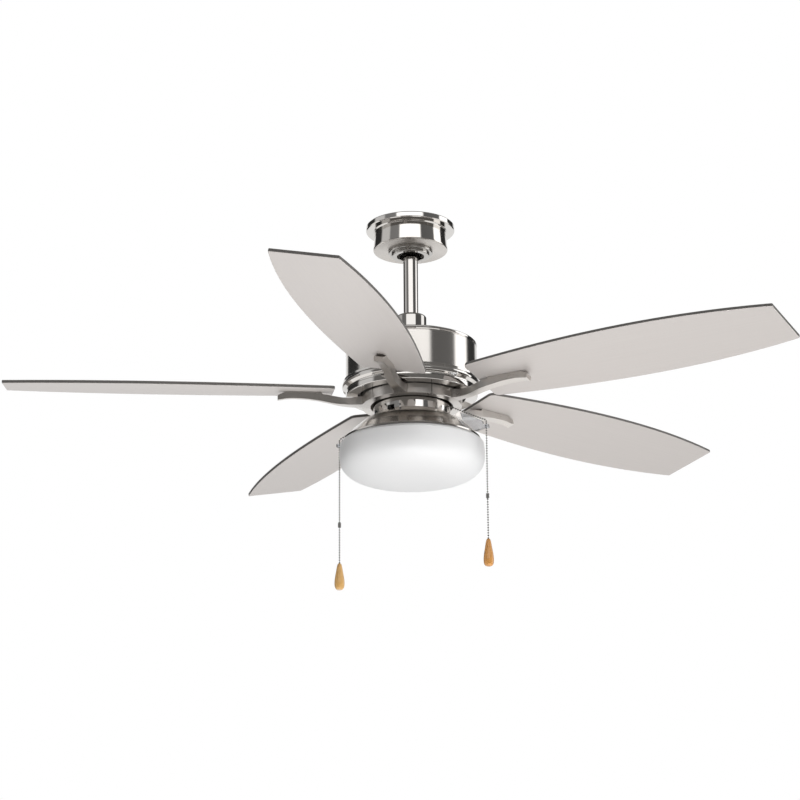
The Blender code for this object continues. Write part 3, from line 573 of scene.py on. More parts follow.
def clear_plastic(name):
    """Clear moulded plastic with a cool tint."""
    s = Shader(name).set(Transmission_Weight=0.94, IOR=1.25)
    cloud = s.noise(s.place(), 120.0, 3.0)
    s.join(s.mix(cloud, (0.74, 0.765, 0.80), (0.86, 0.88, 0.91)), "Base Color")
    s.join(s.between(cloud, 0.05, 0.16), "Roughness")
    s.bump(s.noise(s.place(), 500.0, 2.0), 0.08, 0.0001)
    return s.material


def varnished_wood(name, pale, dark):
    """Turned hardwood under a glossy varnish, its grain along the pull."""
    s = Shader(name).set(Coat_Weight=0.8, Coat_Roughness=0.06)
    wobble = s.noise(s.scaled(s.local(), 60.0, 60.0, 12.0), 1.0, 2.0)
    rings = s.node("TexWave", {"Vector": s.scaled(s.local(), 1.0, 0.45, 0.05), "Scale": 190.0,
                               "Distortion": 6.0, "Detail": 2.0,
                               "Detail Scale": 0.6}, bands_direction="X").outputs["Fac"]
    pores = s.noise(s.scaled(s.local(), 1500.0, 1500.0, 70.0), 1.0, 3.0, 0.6)
    tone = s.math("ADD", s.math("MULTIPLY", rings, 0.65), s.math("MULTIPLY", wobble, 0.35))
    base = s.mix(tone, pale, dark)
    s.join(s.mix(s.ramp(pores, (0.60, 0.0), (0.75, 0.55)), base, tuple(0.5 * c for c in dark)),
           "Base Color")
    s.join(s.between(pores, 0.30, 0.45), "Roughness")
    s.bump(pores, 0.12, 0.0001)
    return s.material


BRUSHED = ring_brushed("nickel_brushed_in_rings", 0.17, 0.12)
FINE_BRUSHED = ring_brushed("nickel_fine_rings", 0.10, 0.06)
SATIN = ring_brushed("nickel_satin_rings", 0.42, 0.10)
POLISHED = polished("nickel_polished", (0.69, 0.67, 0.645), 0.05)
# darker copy of the polished nickel for the rod and the blade screws: its lower colour is painted
# shade, standing in for the rod's darker reflections
SHADED_ROD_NICKEL = polished("nickel_rod_painted_shade", (0.57, 0.55, 0.53), 0.08)
# still darker copy of the polished nickel for the trim ring and the coupling collar: its lower
# colour is painted shade, standing in for their darker reflections
SHADED_COLLAR_NICKEL = polished("nickel_collar_painted_shade", (0.50, 0.485, 0.465), 0.05)
BEAD_STEEL = polished("bead_steel", (0.30, 0.295, 0.285), 0.20)
ARM_METAL = arm_brushed("nickel_arm")
CAST = cast_metal("cast_metal", (0.52, 0.50, 0.48))
ZINC = zinc("zinc_plate")
LAMINATION = lamination("stator_steel")
COPPER = winding("copper_wire")
NYLON = moulded("black_nylon", (0.010, 0.010, 0.010), (0.022, 0.022, 0.022), 0.60)
BLACK = moulded("black_plastic", (0.012, 0.012, 0.012), (0.028, 0.028, 0.028), 0.40)
PORCELAIN = glazed("porcelain", (0.78, 0.77, 0.72), (0.86, 0.85, 0.81), 0.22)
LAMP = glazed("frosted_lamp", (0.86, 0.85, 0.81), (0.92, 0.91, 0.88), 0.38)
OPAL = opal_glass("opal_glass")
SILVER = blade_face("silver_lacquer")
EDGE = blade_edge("blade_edge_band")
CLEAR = clear_plastic("clear_plastic")
WOOD = {"fan": varnished_wood("maple_pull", (0.86, 0.55, 0.20), (0.70, 0.36, 0.10)),
        "light": varnished_wood("honey_pull", (0.80, 0.42, 0.12), (0.58, 0.23, 0.05))}

SLOT_MATERIALS = {
    "brushed_nickel": BRUSHED, "polished_nickel": POLISHED, "cast_metal": CAST,
    "silver_blade": SILVER, "zinc_steel": ZINC, "stator_steel": LAMINATION,
    "copper_winding": COPPER, "hanger_ball_nylon": NYLON, "black_plastic": BLACK,
    "porcelain": PORCELAIN, "opal_glass": OPAL, "frosted_lamp": LAMP, "clear_plastic": CLEAR,
    "honey_wood": WOOD["light"],
}


def dress_cad_nodes():
    """Give every node that stays its procedural material."""
    slots = {row["node"]: row["material_slot"] for row in frame["record"]["subparts"]}
    for name, obj in frame["nodes"].items():
        for slot in obj.material_slots:
            slot.material = SLOT_MATERIALS[slots[name]]


# ---------------------------------------------------------------- pull chains
def bead_chain(name, route, body, replaced):
    """Metal beads on a thin wire along a route, as one piece."""
    bm = bmesh.new()
    lengths = [0.0]
    for here, there in zip(route, route[1:]):
        lengths.append(lengths[-1] + (there - here).length)
    total = lengths[-1]

    def at(distance):
        """The point on the route at a distance from its start."""
        for i in range(len(route) - 1):
            if distance <= lengths[i + 1] or i == len(route) - 2:
                share = (distance - lengths[i]) / (lengths[i + 1] - lengths[i])
                return route[i].lerp(route[i + 1], share)

    count = max(2, round((total - 2 * CHAIN_BEAD_R) / CHAIN_PITCH) + 1)
    step = (total - 2 * CHAIN_BEAD_R) / (count - 1)
    centres = [at(CHAIN_BEAD_R + step * i) for i in range(count)]
    for centre in centres:
        bmesh.ops.create_uvsphere(bm, u_segments=12, v_segments=8, radius=CHAIN_BEAD_R,
                                  matrix=Matrix.Translation(centre))
    for here, there in zip(centres, centres[1:]):
        run = there - here
        turn = run.to_track_quat("Z", "Y").to_matrix().to_4x4()
        bmesh.ops.create_cone(bm, cap_ends=True, segments=8, radius1=CHAIN_LINK_R,
                              radius2=CHAIN_LINK_R, depth=run.length,
                              matrix=Matrix.Translation((here + there) / 2) @ turn)
    piece = finish_piece(name, as_mesh(bm, name), BEAD_STEEL, body, replaced,
                         sharp=60.0)
    return piece, total


def chain_feed(side):
    """The stretch from the switch housing to the guide, drawn taut over the guide."""
    run = [(CHAIN_EXIT_R, CHAIN_EXIT_Z), (0.0670, CHAIN_EXIT_Z - 0.0002), (0.0720, -0.3368),
           (0.0800, -0.3410), (0.0880, -0.3452), (0.0960, -0.3493), (0.1040, -0.3532),
           (0.1120, -0.3571), (0.1200, -0.3611), (0.1280, -0.3650), (0.1325, -0.3668),
           (0.1347, -0.3683), (0.1354, -0.3698), (HANG_R, -0.3719)]
    route = [polar(r, CHAIN_AZIMUTH[side], z) for r, z in run]
    piece, total = bead_chain(f"{side}_feed_beads", route, "fan_body", [f"{side}_chain_feed"])


def hanging_chain(side):
    """The free stretch of beads from the guide to the wooden pull, with its connector."""
    low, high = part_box(f"{side}_pull_chain")
    x, y = (low.x + high.x) / 2, (low.y + high.y) / 2
    points = 24
    route = [Vector((x, y, high.z + (low.z - high.z) * i / points)) for i in range(points + 1)]
    piece, total = bead_chain(f"{side}_pull_beads", route, f"{side}_pull",
                              [f"{side}_pull_chain"])
    chain_connector(side)
    pendant(side)


def chain_connector(side):
    """Split barrel that joins two lengths of bead chain."""
    low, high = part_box(f"{side}_chain_connector")
    centre = middle(f"{side}_chain_connector")
    place = Matrix.Translation((centre.x, centre.y, 0))
    inner, outer = CHAIN_BEAD_R + 0.0003, (high.x - low.x) / 2
    waist = outer - 0.0003
    section = rounded([(outer, high.z, 0.0006), (outer, centre.z + 0.0008, 0.0002),
                       (waist, centre.z, 0.0003), (outer, centre.z - 0.0008, 0.0002),
                       (outer, low.z, 0.0006), (inner, low.z, 0.0002), (inner, high.z, 0.0002)])
    return turned(f"{side}_connector_barrel", section, BEAD_STEEL, f"{side}_pull",
                  [f"{side}_chain_connector"], TINY_TURN, place=place)


def pendant(side):
    """Turned wooden pull, drilled at the top for the chain's last bead."""
    low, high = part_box(f"{side}_pendant")
    height = high.z - low.z
    place = Matrix.Translation(((low.x + high.x) / 2, (low.y + high.y) / 2, high.z))
    flat = 0.0048 if side == "fan" else 0.0024
    shape = ((0.0, 0.0028), (0.05, 0.0038), (0.16, 0.0048), (0.30, 0.0059), (0.42, 0.0069),
             (0.56, 0.0079), (0.68, 0.00845), (0.76, 0.0086), (0.85, 0.0083), (0.92, 0.0074),
             (0.97, 0.0060), (1.0, flat))
    steps = 44
    outer = [(smooth_value(shape, 1, i / steps), -height * i / steps) for i in range(steps + 1)]
    mouth = 0.0019
    section = [(0.0, -0.0022), (mouth, -0.0022), (mouth, -0.0003), (mouth + 0.0003, 0.0),
               *outer, (0.0, -height)]
    return turned(f"{side}_wood_pull", section, WOOD[side], f"{side}_pull",
                  [f"{side}_pendant"], 48, closed=False, place=place)


# ---------------------------------------------------------------- ceiling mounting
def canopy():
    """Polished flange at the ceiling, a satin body that flares downward and a flat bottom."""
    flange, top, bottom = span("canopy")
    neck = flange - 0.0149
    body = flange - 0.0120
    hole = 0.0255
    flange_z = top - 0.0090
    section = rounded([
        (flange - 0.0012, top, 0.0006), (flange, top - 0.0016, 0.0010),
        (flange, flange_z + 0.0004, 0.0012), (flange - 0.0016, flange_z - 0.0010, 0.0008),
        (neck + 0.0026, flange_z - 0.0016, 0.0010), (neck, flange_z - 0.0034, 0.0010),
        (body, bottom, 0.0022), (hole, bottom, 0.0003), (hole, bottom + SHEET, 0.0003),
        (body - SHEET - 0.0002, bottom + SHEET, 0.0012),
        (neck - SHEET, flange_z - 0.0010, 0.0010), (flange - 0.0024, flange_z + 0.0012, 0.0010),
        (flange - 0.0024, top, 0.0003)])
    mesh = turned_mesh("canopy_spun", section)
    seat = [primitive("rod", Matrix.Translation((side * 0.030, 0, bottom)), radius=0.0024,
                      length=0.01, segments=24) for side in (-1, 1)]
    mesh = boolean(mesh, seat)
    obj = finish_piece("canopy_spun", mesh, [FINE_BRUSHED, POLISHED, SATIN], "ceiling_mount",
                       ["canopy"])
    for face in obj.data.polygons:
        if face.center.z > flange_z - 0.0030:
            face.material_index = 1
        elif face.normal.z < -0.9:
            face.material_index = 2


def canopy_trim_ring():
    """Polished two-step ring that hides the canopy's screws."""
    outer, top, bottom = span("canopy_trim_ring")
    step_r = outer - 0.0054
    step_z = top - 0.0051
    hole = 0.0233
    section = rounded([
        (outer, top, 0.0002), (outer, step_z, 0.0022), (step_r, step_z, 0.0005),
        (step_r, bottom, 0.0026), (hole, bottom, 0.0010), (hole, top, 0.0002),
        (hole + 0.0013, top, 0.0002), (hole + 0.0013, bottom + SHEET, 0.0006),
        (step_r - SHEET, bottom + SHEET, 0.0006), (step_r - SHEET, step_z + SHEET, 0.0004),
        (outer - SHEET, step_z + SHEET, 0.0006), (outer - SHEET, top, 0.0002)])
    turned("trim_ring_polished", section, SHADED_COLLAR_NICKEL, "ceiling_mount",
           ["canopy_trim_ring"])


def downrod():
    """Polished tube with its cross holes."""
    radius, top, bottom = span("downrod")
    bore = radius - 0.0020
    section = rounded([(radius, top, 0.0004), (radius, bottom, 0.0004), (bore, bottom, 0.0003),
                       (bore, top, 0.0003)])
    mesh = turned_mesh("downrod_tube", section, SMALL_TURN)
    across = Matrix.Rotation(math.radians(90), 4, "Y")
    holes = [primitive("rod", Matrix.Translation((0, 0, middle(pin).z)) @ across, radius=0.0028,
                       length=0.06, segments=24) for pin in ("ball_pin", "coupling_pin")]
    finish_piece("downrod_tube", boolean(mesh, holes), SHADED_ROD_NICKEL, "fan_body",
                 ["downrod"])


def coupling_cover():
    """Polished collar over the coupling, rounded at the top."""
    outer, top, bottom = span("coupling_cover")
    hole = 0.0132
    section = rounded([
        (hole, top, 0.0003), (outer, top, 0.0048), (outer, bottom, 0.0003),
        (outer - SHEET, bottom, 0.0002), (outer - SHEET, top - SHEET, 0.0036),
        (hole, top - SHEET, 0.0003)], 8)
    turned("coupling_collar", section, SHADED_COLLAR_NICKEL, "fan_body",
           ["coupling_cover"], SMALL_TURN)


# ---------------------------------------------------------------- motor housing
def motor_housing():
    """Drum: low crown, polished rim bead, a groove and a brushed wall."""
    rim, top, bottom = span("motor_housing")
    wall = rim - 0.0006
    hole = 0.0095
    section = rounded([
        (hole, top, 0.0003), (0.0600, top, 0.0060), (rim - 0.0042, top - 0.0088, 0.0020),
        (rim, top - 0.0112, 0.0018), (rim - 0.0006, top - 0.0142, 0.0012),
        (wall - 0.0012, top - 0.0158, 0.0005), (wall, top - 0.0178, 0.0008),
        (wall, bottom, 0.0003), (wall - SHEET, bottom, 0.0002),
        (wall - SHEET, top - 0.0120, 0.0010), (0.0598, top - SHEET, 0.0040),
        (hole, top - SHEET, 0.0002)])
    obj = turned("housing_drum", section, [BRUSHED, POLISHED], "fan_body",
                 ["motor_housing"])
    for face in obj.data.polygons:
        on_rim = face.center.z > top - 0.0172 and Vector(face.center[:2]).length > 0.1000
        face.material_index = 1 if on_rim else 0


def housing_lower_ring():
    """Polished bottom ring: lip, bead, groove and cove, closed in underneath."""
    bead, top, bottom = span("housing_lower_ring")
    lip = bead - 0.0022
    groove = bead - 0.0073
    cove = bead - 0.0064
    hole = 0.0920
    section = rounded([
        (0.1128, top, 0.0003), (lip, top - 0.0012, 0.0006), (lip - 0.0007, top - 0.0050, 0.0008),
        (bead - 0.0006, top - 0.0076, 0.0012), (bead, top - 0.0106, 0.0022),
        (bead - 0.0014, top - 0.0138, 0.0016), (groove, top - 0.0172, 0.0008),
        (groove, top - 0.0196, 0.0006), (cove, top - 0.0206, 0.0006),
        (cove - 0.0003, bottom, 0.0020), (hole, bottom, 0.0005), (hole, bottom + SHEET, 0.0003),
        (cove - 0.0026, bottom + SHEET, 0.0010), (cove - 0.0026, top - 0.0168, 0.0010),
        (bead - 0.0030, top - 0.0128, 0.0012), (lip - 0.0018, top - 0.0034, 0.0010),
        (0.1092, top - 0.0014, 0.0006), (0.1092, top, 0.0002)])
    turned("lower_ring_polished", section, POLISHED, "fan_body",
           ["housing_lower_ring"])


# ---------------------------------------------------------------- irons and blades
# stations of the arm: distance out, top, bottom (from the blade plane), width, share of the pitch
ARM_STATIONS = (
    (0.0700, -0.0090, -0.0236, 0.0300, 0.00),
    (0.0870, -0.0094, -0.0236, 0.0262, 0.00),
    (0.0930, -0.0100, -0.0235, 0.0226, 0.00),
    (0.1050, -0.0110, -0.0232, 0.0198, 0.05),
    (0.1170, -0.0102, -0.0223, 0.0190, 0.30),
    (0.1285, -0.0078, -0.0205, 0.0186, 0.70),
    (0.1400, -0.0052, -0.0182, 0.0183, 1.00),
    (0.1515, -0.0036, -0.0160, 0.0181, 1.00),
    (0.1538, 0.0000, -0.0155, 0.0181, 1.00),
    (0.1665, 0.0000, -0.0137, 0.0179, 1.00),
    (0.1845, 0.0000, -0.0120, 0.0177, 1.00),
    (0.2020, 0.0000, -0.0116, 0.0175, 1.00),
    (0.2130, 0.0000, -0.0124, 0.0173, 1.00),
    (0.2200, -0.0030, -0.0136, 0.0172, 1.00),
    (0.2275, -0.0062, -0.0150, 0.0171, 1.00),
)


def arm_section(reach, shrink):
    """A rounded rectangle of the arm at a reach, turned to its share of the blade's pitch."""
    top, bottom, width, share = (smooth_value(ARM_STATIONS, c, reach) for c in range(1, 5))
    half = width / 2 - shrink
    top, bottom = top - shrink, bottom + shrink
    foot = half - ARM_DRAFT * (top - bottom)
    outline = rounded([(-foot, bottom, 0.0007), (foot, bottom, 0.0007), (half, top, 0.0005),
                       (-half, top, 0.0005)], 3)
    twist = math.radians(-BLADE_PITCH * share)
    return [Vector((y * math.cos(twist) - z * math.sin(twist),
                    y * math.sin(twist) + z * math.cos(twist))) for y, z in outline]


def arm_mesh():
    """The arm lofted through its sections, with a softened tip."""
    first, last = ARM_STATIONS[0][0], ARM_STATIONS[-1][0]
    reaches = [first + (last - first) * i / 90 for i in range(91)]
    reaches += [0.1512, 0.1540]  # just outside the step up to the blade's seat
    return lofted_mesh("arm", [
        [(reach, p.x, p.y) for p in arm_section(reach, 0.0006 if reach == last else 0.0)]
        for reach in sorted(reaches)])


def hub_sector_mesh():
    """A fifth of the hub ring, with rounded rims, centred on the arm's direction."""
    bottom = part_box("blade_iron_1")[0].z - BLADE_PLANE_Z
    top = HUB_TOP_Z - BLADE_PLANE_Z
    section = rounded([(HUB_OUTER_R, top, 0.0010), (HUB_OUTER_R - HUB_DRAFT, bottom, 0.0012),
                       (HUB_INNER_R, bottom, 0.0008), (HUB_INNER_R, top, 0.0004)])
    half = 180 / BLADE_COUNT - HUB_SEAM
    count = 30
    turns = [math.radians(-half + 2 * half * k / count) for k in range(count + 1)]
    return lofted_mesh("sector", [[(r * math.cos(turn), r * math.sin(turn), z)
                                   for r, z in section] for turn in turns])


def blade_half_width(share):
    """Half width of the blade at a share of its length."""
    rest = 1.0 - share
    return (BLADE_ROOT_HALF * rest ** 3 + 3 * BLADE_INNER_PULL * rest * rest * share
            + 3 * BLADE_OUTER_PULL * rest * share * share + BLADE_TIP_HALF * share ** 3)


def blade_outline():
    """Edge of the blade from above: rounded root, swelling sides, square-cut tip."""
    start = BLADE_ROOT_R + BLADE_CORNER
    end = BLADE_TIP_R - 0.0020
    count = 60
    edge = [(start + (end - start) * i / count, blade_half_width(i / count))
            for i in range(count + 1)]
    root = []
    for i in range(8):
        turn = math.radians(180 - 90 * i / 8)
        root.append((start + BLADE_CORNER * math.cos(turn),
                     BLADE_ROOT_HALF - BLADE_CORNER + BLADE_CORNER * math.sin(turn)))
    tip = [(BLADE_TIP_R - 0.0006, BLADE_TIP_HALF - 0.0006), (BLADE_TIP_R, BLADE_TIP_HALF - 0.0018)]
    half = root + edge + tip
    return [(x, -y) for x, y in half] + [(x, y) for x, y in reversed(half)]


def blade_mesh():
    """The blade with lightly eased edges; the second material is its edge band."""
    bm = slab([(x, y, 0.0) for x, y in blade_outline()], (0, 0, BLADE_THICKNESS))
    rims = [e for e in bm.edges if len(e.link_faces) == 2
            and abs(e.link_faces[0].normal.z - e.link_faces[1].normal.z) > 0.5]
    bmesh.ops.bevel(bm, geom=rims, offset=0.0011, segments=3, affect="EDGES", profile=0.5)
    for face in bm.faces:
        face.material_index = 0 if abs(face.normal.z) > 0.45 else 1
    return as_mesh(bm, "blade")


def blade_screw_mesh():
    """Domed screw head with a cross recess."""
    head = [(0.0, 0.0024), (0.0014, 0.0023), (0.0028, 0.0019), (0.0038, 0.0012), (0.0042, 0.0004),
            (0.0042, 0.0), (0.0021, 0.0), (0.0021, -0.0048), (0.0, -0.0048)]
    mesh = turned_mesh("screw", head, TINY_TURN, closed=False)
    slots = [primitive("box", Matrix.Translation((0, 0, 0.0022)), size=size)
             for size in ((0.0046, 0.0009, 0.0020), (0.0009, 0.0046, 0.0020))]
    return boolean(mesh, slots)


def blades_and_irons():
    """Five irons, five blades and three screws on each blade."""
    iron = boolean(hub_sector_mesh(), [arm_mesh()], "UNION")
    blade = blade_mesh()
    screw = blade_screw_mesh()
    for index in range(BLADE_COUNT):
        azimuth = FIRST_BLADE_AZIMUTH + 360 / BLADE_COUNT * index
        level = turn_and_place(azimuth, (0, 0, BLADE_PLANE_Z))
        pitched = level @ Matrix.Rotation(math.radians(-BLADE_PITCH), 4, "X")
        number = index + 1
        finish_piece(f"iron_{number}_cast", iron.copy(), ARM_METAL, "rotor",
                     [f"blade_iron_{number}"], level)
        lifted = pitched @ Matrix.Translation((0, 0, BLADE_LIFT))
        finish_piece(f"blade_{number}_lacquered", blade.copy(), [SILVER, EDGE], "rotor",
                     [f"blade_{number}"], lifted)
        for k, reach in enumerate(BLADE_SCREW_REACHES, start=1):
            place = lifted @ Matrix.Translation((reach, 0, BLADE_THICKNESS))
            finish_piece(f"blade_screw_{number}_{k}", screw.copy(), SHADED_ROD_NICKEL, "rotor",
                         (), place)


# ---------------------------------------------------------------- switch housing and light kit
def notch_tool():
    """Box that opens the lower edge of the switch housing in front of the reversing slide."""
    radius, _, bottom = span("switch_housing")
    level = (NOTCH_TOP_Z + bottom) / 2
    place = turn_and_place(REVERSE_AZIMUTH, polar(radius - 0.002, REVERSE_AZIMUTH, level))
    return primitive("box", place, size=(0.012, NOTCH_WIDTH, NOTCH_TOP_Z - bottom + 0.0002))


def hole_tool(radius, azimuth, z, bore):
    """A round hole through a wall, square to the Z axis."""
    place = turn_and_place(azimuth, polar(radius, azimuth, z), 90)
    return primitive("rod", place, radius=bore, length=0.012, segments=32)


def screw_holes(radius):
    """The holes for the three fitter screws in a wall of this radius."""
    return [hole_tool(radius, azimuth, FITTER_SCREW_Z, FITTER_SCREW_HOLE_R)
            for azimuth in FITTER_SCREW_AZIMUTHS]


def switch_housing():
    """Polished cup with the reversing notch, chain holes and screw holes."""
    radius, top, bottom = span("switch_housing")
    hole = 0.0088
    section = rounded([
        (hole, top, 0.0002), (radius, top, 0.0018), (radius, bottom, 0.0003),
        (radius - SHEET, bottom, 0.0002), (radius - SHEET, top - SHEET, 0.0008),
        (hole, top - SHEET, 0.0002)])
    tools = [notch_tool()]
    tools += [hole_tool(radius, azimuth, CHAIN_EXIT_Z, CHAIN_HOLE_R)
              for azimuth in CHAIN_AZIMUTH.values()]
    tools += screw_holes(radius)
    finish_piece("switch_cup", boolean(turned_mesh("switch_cup", section), tools), POLISHED,
                 "fan_body", ["switch_housing"])


def fitter_pan():
    """Brushed bell between the switch housing and the glass."""
    rim, top, bottom = span("light_fitter_pan")
    cup_r, _, cup_bottom = span("switch_housing")
    neck = cup_r - 0.0020
    step = cup_bottom - 0.0003
    sheet = 0.0014
    section = rounded([
        (neck, top, 0.0002), (neck, step, 0.0002), (0.0660, step, 0.0008),
        (0.0840, -0.3580, 0.0200), (0.0935, -0.3653, 0.0200), (0.1020, -0.3727, 0.0300),
        (0.1150, -0.3866, 0.0020), (rim, bottom + 0.0027, 0.0008), (rim - 0.0011, bottom, 0.0003),
        (rim - 0.0011 - sheet, bottom, 0.0002), (0.1139, -0.3879, 0.0020), (0.1010, -0.3738, 0.0300),
        (0.0926, -0.3664, 0.0200), (0.0832, -0.3592, 0.0200), (0.0655, step - 0.0017, 0.0008),
        (neck - sheet, step - 0.0013, 0.0004), (neck - sheet, top, 0.0002)], 5)
    tools = [notch_tool(), *screw_holes(cup_r)]
    finish_piece("fitter_bell", boolean(turned_mesh("fitter_bell", section), tools), BRUSHED,
                 "fan_body", ["light_fitter_pan"])


def glass_bowl():
    """Opal bowl: a superellipse of revolution with a shoulder and a neck."""
    radius, top, bottom = span("glass_bowl")
    widest = -0.4081
    power = 3.2
    wall = 0.0035
    neck = 0.1090
    shoulder = -0.3907

    def bowl(r, depth, count):
        """Superellipse from the widest level down to the axis."""
        points = []
        for i in range(count + 1):
            turn = math.pi / 2 * i / count
            points.append((r * max(math.cos(turn), 0.0) ** (2 / power),
                           widest - depth * math.sin(turn) ** (2 / power)))
        points[-1] = (0.0, widest - depth)
        return points

    upper = rounded([(neck - 0.0028, top, 0.0), (neck, top, 0.0008), (neck, shoulder, 0.0015),
                     (0.1180, shoulder - 0.0008, 0.0040), (0.1215, shoulder - 0.0050, 0.0050),
                     (radius, widest, 0.0)], 5)[1:-1]
    inner_r = radius - wall
    inner = bowl(inner_r, widest - bottom - wall, 40)[::-1]
    inner += [(0.1165, shoulder - 0.0050), (neck - 0.0020, shoulder - 0.0034),
              (neck - 0.0028, shoulder - 0.0022), (neck - 0.0028, top)]
    turned("glass_bowl_opal", inner + upper + bowl(radius, widest - bottom, 56), OPAL,
           "fan_body", ["glass_bowl"], closed=False)


def fitter_screws():
    """Round-head screws with a slot, in the side of the switch housing."""
    wall = span("switch_housing")[0] + 0.0003
    head = [(0.0, 0.0016), (0.0010, 0.0015), (0.0018, 0.0010), (0.0022, 0.0004), (0.0022, 0.0),
            (0.0013, 0.0), (0.0013, -0.0050), (0.0, -0.0050)]
    mesh = turned_mesh("screw", head, TINY_TURN, closed=False)
    mesh = boolean(mesh, [primitive("box", Matrix.Translation((0, 0, 0.0014)),
                                    size=(0.0060, 0.0006, 0.0012))])
    for index, azimuth in enumerate(FITTER_SCREW_AZIMUTHS, start=1):
        place = turn_and_place(azimuth, polar(wall, azimuth, FITTER_SCREW_Z), 90)
        finish_piece(f"fitter_screw_{index}_head", mesh.copy(), ZINC, "fan_body",
                     [f"fitter_screw_{index}"], place)


def chain_guide(side):
    """Clear trough that leads the chain out past the glass, with an eyelet at its end."""
    outline = [(0.0900, -0.3499), (0.1290, -0.3694), (0.1312, -0.3765), (0.1398, -0.3765),
               (0.1398, -0.3823), (0.1290, -0.3823), (0.1170, -0.3850),
               (0.1146, -0.3846), (0.1098, -0.3794), (0.1028, -0.3722), (0.0943, -0.3648)]
    width = 0.0080
    bm = slab([(r, -width / 2, z) for r, z in outline], (0, width, 0))
    bmesh.ops.bevel(bm, geom=list(bm.edges), offset=0.0005, segments=2, affect="EDGES",
                    profile=0.5)
    bore = primitive("rod", Matrix.Translation((HANG_R, 0, -0.377)), radius=CHAIN_BEAD_R + 0.0006,
                     length=0.04, segments=32)
    finish_piece(f"{side}_guide_clear", boolean(as_mesh(bm, "guide"), [bore]), CLEAR,
                 "fan_body", [f"{side}_chain_guide"],
                 turn_and_place(CHAIN_AZIMUTH[side]))


# ---------------------------------------------------------------- studio
def add_floor():
    """A plain pale floor far below the fan."""
    bm = bmesh.new()
    bmesh.ops.create_circle(bm, cap_ends=True, segments=96, radius=FLOOR_R,
                            matrix=Matrix.Translation((0, 0, FLOOR_Z)))
    floor = link(bpy.data.objects.new("floor", as_mesh(bm, "floor")))
    s = Shader("pale_floor").set(Roughness=0.8, Emission_Strength=0.55)
    s.set(Emission_Color=(1.0, 0.995, 0.985, 1.0))
    cloud = s.noise(s.place(), 3.0, 2.0)
    s.join(s.mix(cloud, (0.90, 0.90, 0.89), (0.93, 0.93, 0.92)), "Base Color")
    floor.data.materials.append(s.material)
    floor.visible_diffuse = False
    floor.visible_glossy = False
    floor.visible_transmission = False
    floor.visible_shadow = False


# what the polished metal reflects: bright and dark bands round the horizon, each an angle in
# degrees from the front, positive to the right, and its brightness
HORIZON = (
    (-180, 1.00), (-152, 0.90), (-146, 0.03), (-108, 0.04), (-101, 0.70), (-72, 0.70),
    (-67, 0.24), (-38, 0.26), (-33, 1.80), (31, 1.80), (36, 0.13), (80, 0.16),
    (84, 1.80), (111, 1.80), (115, 0.03), (146, 0.04), (152, 0.90), (180, 1.00),
)
# shares of the floor's, the ceiling's and the dark front's light: by degrees above the horizon,
# and for the front by degrees round it too
FLOOR_FADE = ((-90, 1.0), (-31, 1.0), (-23, 0.0), (90, 0.0))
CEILING_FADE = ((-90, 0.0), (34, 0.0), (38, 1.0), (90, 1.0))
FRONT_TURN = ((-180, 0.0), (-68, 0.0), (-66, 1.0), (80, 1.0), (82, 0.0), (180, 0.0))
FRONT_RISE = ((-90, 0.0), (-46, 0.0), (-36, 1.0), (15.7, 1.0), (16.4, 0.0), (90, 0.0))
FLOOR_LIGHT = (1.10, 1.085, 1.07)
CEILING_LIGHT = (0.24, 0.235, 0.23)
FRONT_LIGHT = (0.16, 0.155, 0.15)
# what lights the matt surfaces, by degrees above the horizon
FILL_LIGHT = ((-90, 0.26), (-20, 0.22), (10, 0.16), (90, 0.14))


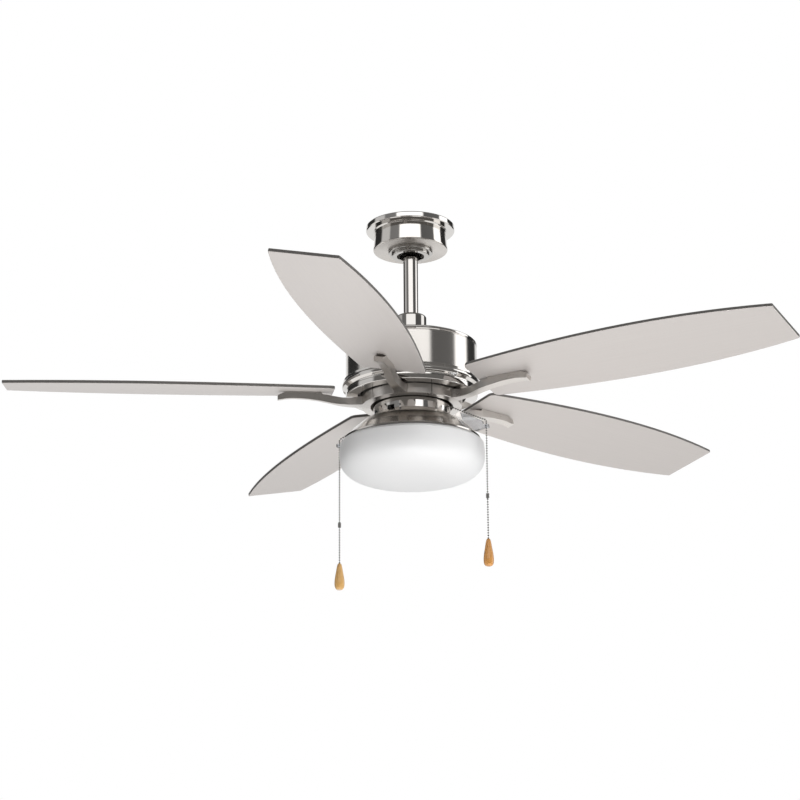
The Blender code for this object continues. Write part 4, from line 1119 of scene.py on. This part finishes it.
def add_world():
    """White studio: reflections see bands, matt surfaces a soft fill, the background is white."""
    world = bpy.data.worlds.new("studio")
    world.use_nodes = True
    bpy.context.scene.world = world
    w = Nodes(world.node_tree)
    w.tree.nodes.clear()

    def by_angle(share, limit, stops):
        """Brightness from stops in degrees, which run from minus the limit to the limit."""
        return w.ramp(share, *(((angle + limit) / (2 * limit), grey) for angle, grey in stops))

    def as_share(angle, limit):
        """An angle in radians as its share of the way from minus the limit to the limit."""
        return w.node("MapRange", {"Value": angle, "From Min": -limit,
                                   "From Max": limit}).outputs[0]

    parts = w.node("SeparateXYZ", {0: w.node("TexCoord").outputs["Generated"]})
    toward = w.math("MULTIPLY", parts.outputs["Y"], -1.0)
    turn = as_share(w.math("ARCTAN2", parts.outputs["X"], toward), math.pi)
    rise = as_share(w.math("ARCSINE", parts.outputs["Z"]), math.pi / 2)
    lower = w.mix(by_angle(rise, 90, FLOOR_FADE), by_angle(turn, 180, HORIZON), FLOOR_LIGHT)
    front = w.math("MULTIPLY", by_angle(turn, 180, FRONT_TURN), by_angle(rise, 90, FRONT_RISE))
    lower = w.mix(front, lower, FRONT_LIGHT)
    room = w.mix(by_angle(rise, 90, CEILING_FADE), lower, CEILING_LIGHT)
    mirrored = w.node("Background", {"Color": room}).outputs[0]
    fill = w.node("Background", {"Color": by_angle(rise, 90, FILL_LIGHT)}).outputs[0]
    plain = w.node("Background", {"Color": (1.0, 1.0, 1.0, 1.0)}).outputs[0]
    ray = w.node("LightPath").outputs
    soft = w.node("MixShader", {0: ray["Is Diffuse Ray"], 1: mirrored, 2: fill}).outputs[0]
    seen = w.node("MixShader", {0: ray["Is Camera Ray"], 1: soft, 2: plain}).outputs[0]
    w.node("OutputWorld", {"Surface": seen})


def area_light(name, place, target, size, power, spread=180.0):
    """A square soft light that shines at a target, its beam as wide as the spread in degrees."""
    data = bpy.data.lights.new(name, "AREA")
    data.shape = "SQUARE"
    data.size = size
    data.energy = power
    data.spread = math.radians(spread)
    light = link(bpy.data.objects.new(name, data))
    light.location = place
    aim = Vector(target) - Vector(place)
    light.rotation_euler = aim.to_track_quat("-Z", "Y").to_euler()
    light.visible_glossy = False
    light.visible_camera = False


def main():
    """Build the whole visual model."""
    bpy.context.scene.view_settings.view_transform = "Standard"
    add_camera()
    dress_cad_nodes()
    for side in CHAIN_AZIMUTH:
        chain_feed(side)
        hanging_chain(side)
        chain_guide(side)
    canopy()
    canopy_trim_ring()
    downrod()
    coupling_cover()
    motor_housing()
    housing_lower_ring()
    blades_and_irons()
    switch_housing()
    fitter_pan()
    fitter_screws()
    glass_bowl()
    add_floor()
    add_world()
    area_light("front_below", (0.2, -1.3, -1.8), (-0.05, -0.42, -0.35), 0.9, 4.9, 76.0)
    area_light("right_panel", (2.0, -0.4, -1.1), (0, 0, -0.42), 1.0, 14.0)
    area_light("left_panel", (-2.0, -0.4, -1.2), (0, 0, -0.42), 1.0, 4.0)
    area_light("overhead", (0.4, -0.4, 2.2), (0, 0, -0.3), 2.0, 30.0)


main()
